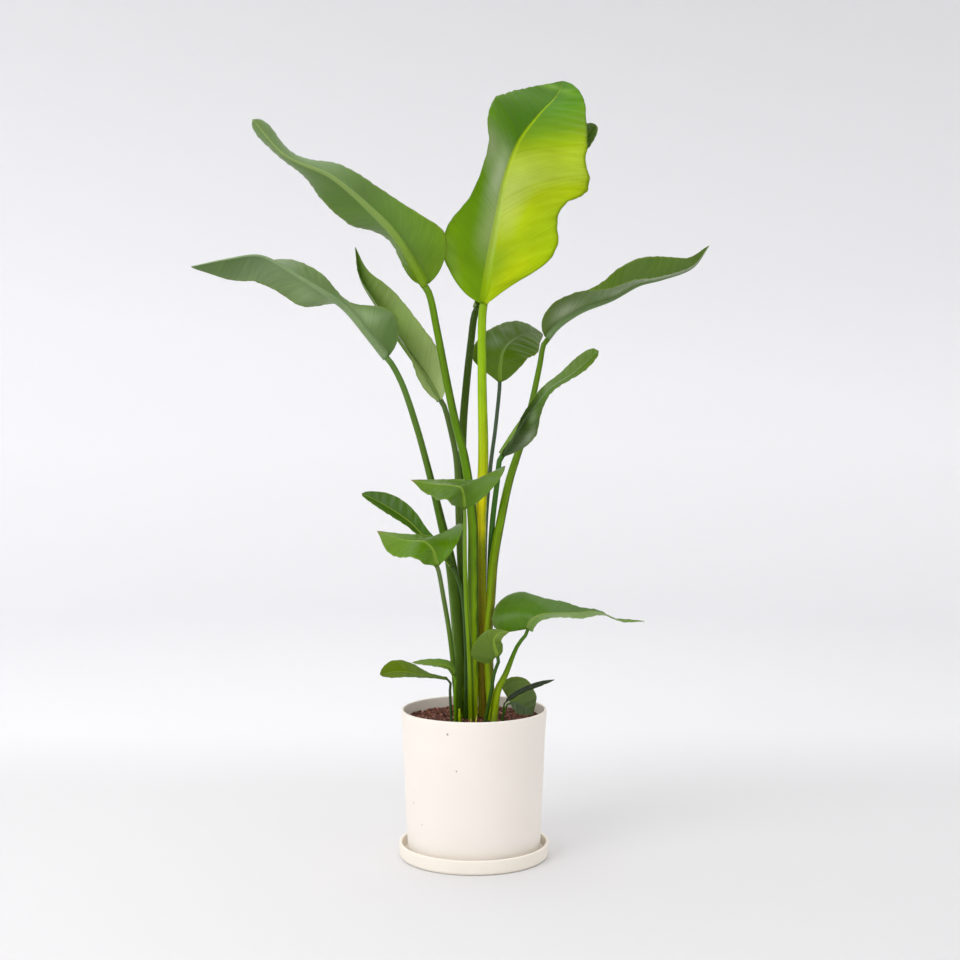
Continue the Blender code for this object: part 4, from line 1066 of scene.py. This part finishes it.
def makeSoilChips():
    rng = np.random.default_rng(11)
    edge = potRadius(soil["top"]) - ceramic["potWall"] - 0.003
    points, faces, tints = [], [], []
    palette = np.array([shade(text) for text in soil["chipShades"].split()])
    for kind in ["chip"] * soil["chips"] + ["thread"] * soil["threads"]:
        radius = edge * math.sqrt(rng.random())
        turn = rng.random() * 2 * math.pi
        x, y = radius * math.cos(turn), radius * math.sin(turn)
        low, high = soil["chipLength"]
        length = low + (high - low) * rng.random() ** 2
        wide = length * draw(rng, *soil["chipWide"])
        deep = length * draw(rng, *soil["chipDeep"])
        if kind == "thread":
            length = draw(rng, *soil["threadLength"])
            wide = deep = soil["threadThick"]
        heading = rng.random() * 2 * math.pi
        pitch = rng.normal(0, soil["pitch"])
        flat = math.cos(pitch)
        along = np.array([math.cos(heading) * flat, math.sin(heading) * flat, math.sin(pitch)])
        side = np.cross(along, (rng.normal(0, soil["tilt"]), rng.normal(0, soil["tilt"]), 1))
        side /= np.linalg.norm(side)
        up = np.cross(side, along)
        centre = np.array([x, y, float(soilHeight(x, y)) + deep * 0.4])
        ring = []
        for at, scale in soil["chipTaper"]:
            bend = up * deep * (0.5 if at == 0 else 0) * rng.random()
            for across, above in ((-1, -1), (1, -1), (1, 1), (-1, 1)):
                jitter = 1 + soil["jitter"] * rng.normal(size=2) if kind == "chip" else np.ones(2)
                spot = along * at * length + side * across * wide / 2 * scale * jitter[0]
                ring.append(centre + spot + up * above * deep / 2 * scale * jitter[1] + bend)
        start = len(ring) * len(points)
        faces.extend(tuple(start + corner for corner in face) for face in ringFaces(3, 4))
        points.append(np.array(ring))
        own = palette[rng.integers(len(palette))] * draw(rng, *soil["chipTone"])
        if kind == "thread":
            own = palette[soil["threadShade"]] * draw(rng, *soil["threadTone"])
        tints.append(np.repeat(own[None], len(ring), axis=0))
    points = np.concatenate(points)
    inside = np.hypot(points[:, 0], points[:, 1])
    limit = potRadius(soil["top"]) - ceramic["potWall"] - soil["chipGap"]
    points[:, :2] *= np.minimum(1, limit / np.maximum(inside, 1e-6))[:, None]
    piece = addPiece("soil_chips", points, faces, "soil_coir", None, np.concatenate(tints))
    piece.data.shade_flat()


makeSoilBed()
makeSoilChips()
print("soil laid")


# floor, light and camera
studio = {
    "floorRadius": 3.4, "coveRadius": 1.4, "wallHeight": 4.2,
    # the floor's colour is a little darker than the wall's: painted shade
    "turns": 120, "floor": "#ecebec", "wall": "#f3f3f5",
    "wallFade": (0.4, 1.1, 0.0, 1.0),  # here and below: from place to place, from value to value
    # painted shade and light: floor and wall darker to the right, the wall brighter as it rises and darker
    # towards the top corners
    "floorPaintedShade": (-0.7, 0.7, 0.96, 0.915), "wallPaintedShade": (-2.4, 2.4, 1.03, 0.95),
    "risePaintedLight": (0.0, 0.6, 1.0, 1.07), "cornerPaintedShade": (1.0, 3.0, 1.0, 0.81), "cornerShadeLean": 0.12,
    "camera": (0.0105, -2.63, 0.759), "cameraTilt": 87.5, "lens": 57.98,
    "world": 1.05,
    "lights": {
        "key": {"place": (-2.2, -2.5, 2.6), "aim": (0, 0, 0.7), "size": 2.6, "power": 48},
        "fill": {"place": (2.6, -1.6, 1.4), "aim": (0, 0, 0.6), "size": 2.2, "power": 1},
        "top": {"place": (-0.4, 0.6, 3.4), "aim": (0, 0, 0.6), "size": 2.8, "power": 11},
    },
}


def makeStudio():
    floorRadius, coveRadius = studio["floorRadius"], studio["coveRadius"]
    profile = [(0.3, 0.0)] + [(radius, 0.0) for radius in np.linspace(0.6, floorRadius, 14)]
    profile += roundCorner((floorRadius, coveRadius), coveRadius, -90, 0, 16)[1:]
    profile += [(floorRadius + coveRadius, studio["wallHeight"])]
    turn = 2 * math.pi * np.arange(studio["turns"]) / studio["turns"]
    points = np.concatenate([circle(radius, turn, height) for radius, height in profile])
    faces = [face[::-1] for face in ringFaces(len(profile), len(turn))[:-1]]  # seen from inside
    mesh = bpy.data.meshes.new("backdrop")
    mesh.from_pydata(points.tolist(), [], faces)
    mesh.shade_smooth()
    material, tree, shader = startMaterial("backdropPaintAndShade")
    spot = addNode(tree, "SeparateXYZ", {0: objectPlace(tree)}).outputs
    # the floor's colour a little darker than the wall's, and the tones below, are painted shade and light:
    # darker to the right, brighter up the wall, darker towards the top corners
    far = rescale(tree, spot["Y"], *studio["wallFade"], smooth=True)
    colour = mixColours(tree, far, shade(studio["floor"]), shade(studio["wall"]))
    low = rescale(tree, spot["X"], *studio["floorPaintedShade"])
    high = rescale(tree, spot["X"], *studio["wallPaintedShade"])
    slant = maths(tree, "MULTIPLY_ADD", spot["X"], studio["cornerShadeLean"], spot["Z"])
    paintedUpward = rescale(tree, spot["Z"], *studio["risePaintedLight"])
    paintedUpward = times(tree, paintedUpward, rescale(tree, slant, *studio["cornerPaintedShade"]))
    tone = times(tree, maths(tree, "MULTIPLY_ADD", far, maths(tree, "SUBTRACT", high, low), low), paintedUpward)
    setSurface(tree, shader, adjust(tree, colour, tone), rough=0.9, gloss=0.1)
    mesh.materials.append(material)
    backdrop = bpy.data.objects.new("backdrop", mesh)
    bpy.context.scene.collection.objects.link(backdrop)


def makeLights():
    for name, own in studio["lights"].items():
        light = bpy.data.lights.new(name, "AREA")
        light.shape = "DISK"
        light.size = own["size"]
        light.energy = own["power"]
        lamp = bpy.data.objects.new(name, light)
        bpy.context.scene.collection.objects.link(lamp)
        lamp.location = own["place"]
        reach = Vector(own["aim"]) - Vector(own["place"])
        lamp.rotation_euler = reach.to_track_quat("-Z", "Y").to_euler()
        lamp.visible_camera = False
    world = bpy.data.worlds.new("studioAir")
    bpy.context.scene.world = world
    world.use_nodes = True
    air = world.node_tree.nodes["Background"]
    air.inputs["Color"].default_value = (1, 1, 1, 1)
    air.inputs["Strength"].default_value = studio["world"]


def makeCamera():
    lens = bpy.data.cameras.new("camera")
    lens.lens = studio["lens"]
    lens.sensor_width = 36
    camera = bpy.data.objects.new("camera", lens)
    bpy.context.scene.collection.objects.link(camera)
    camera.location = studio["camera"]
    camera.rotation_euler = (math.radians(studio["cameraTilt"]), 0, 0)
    bpy.context.scene.camera = camera


makeStudio()
makeLights()
makeCamera()
bpy.context.scene.view_settings.view_transform = "Standard"
print("studio ready")
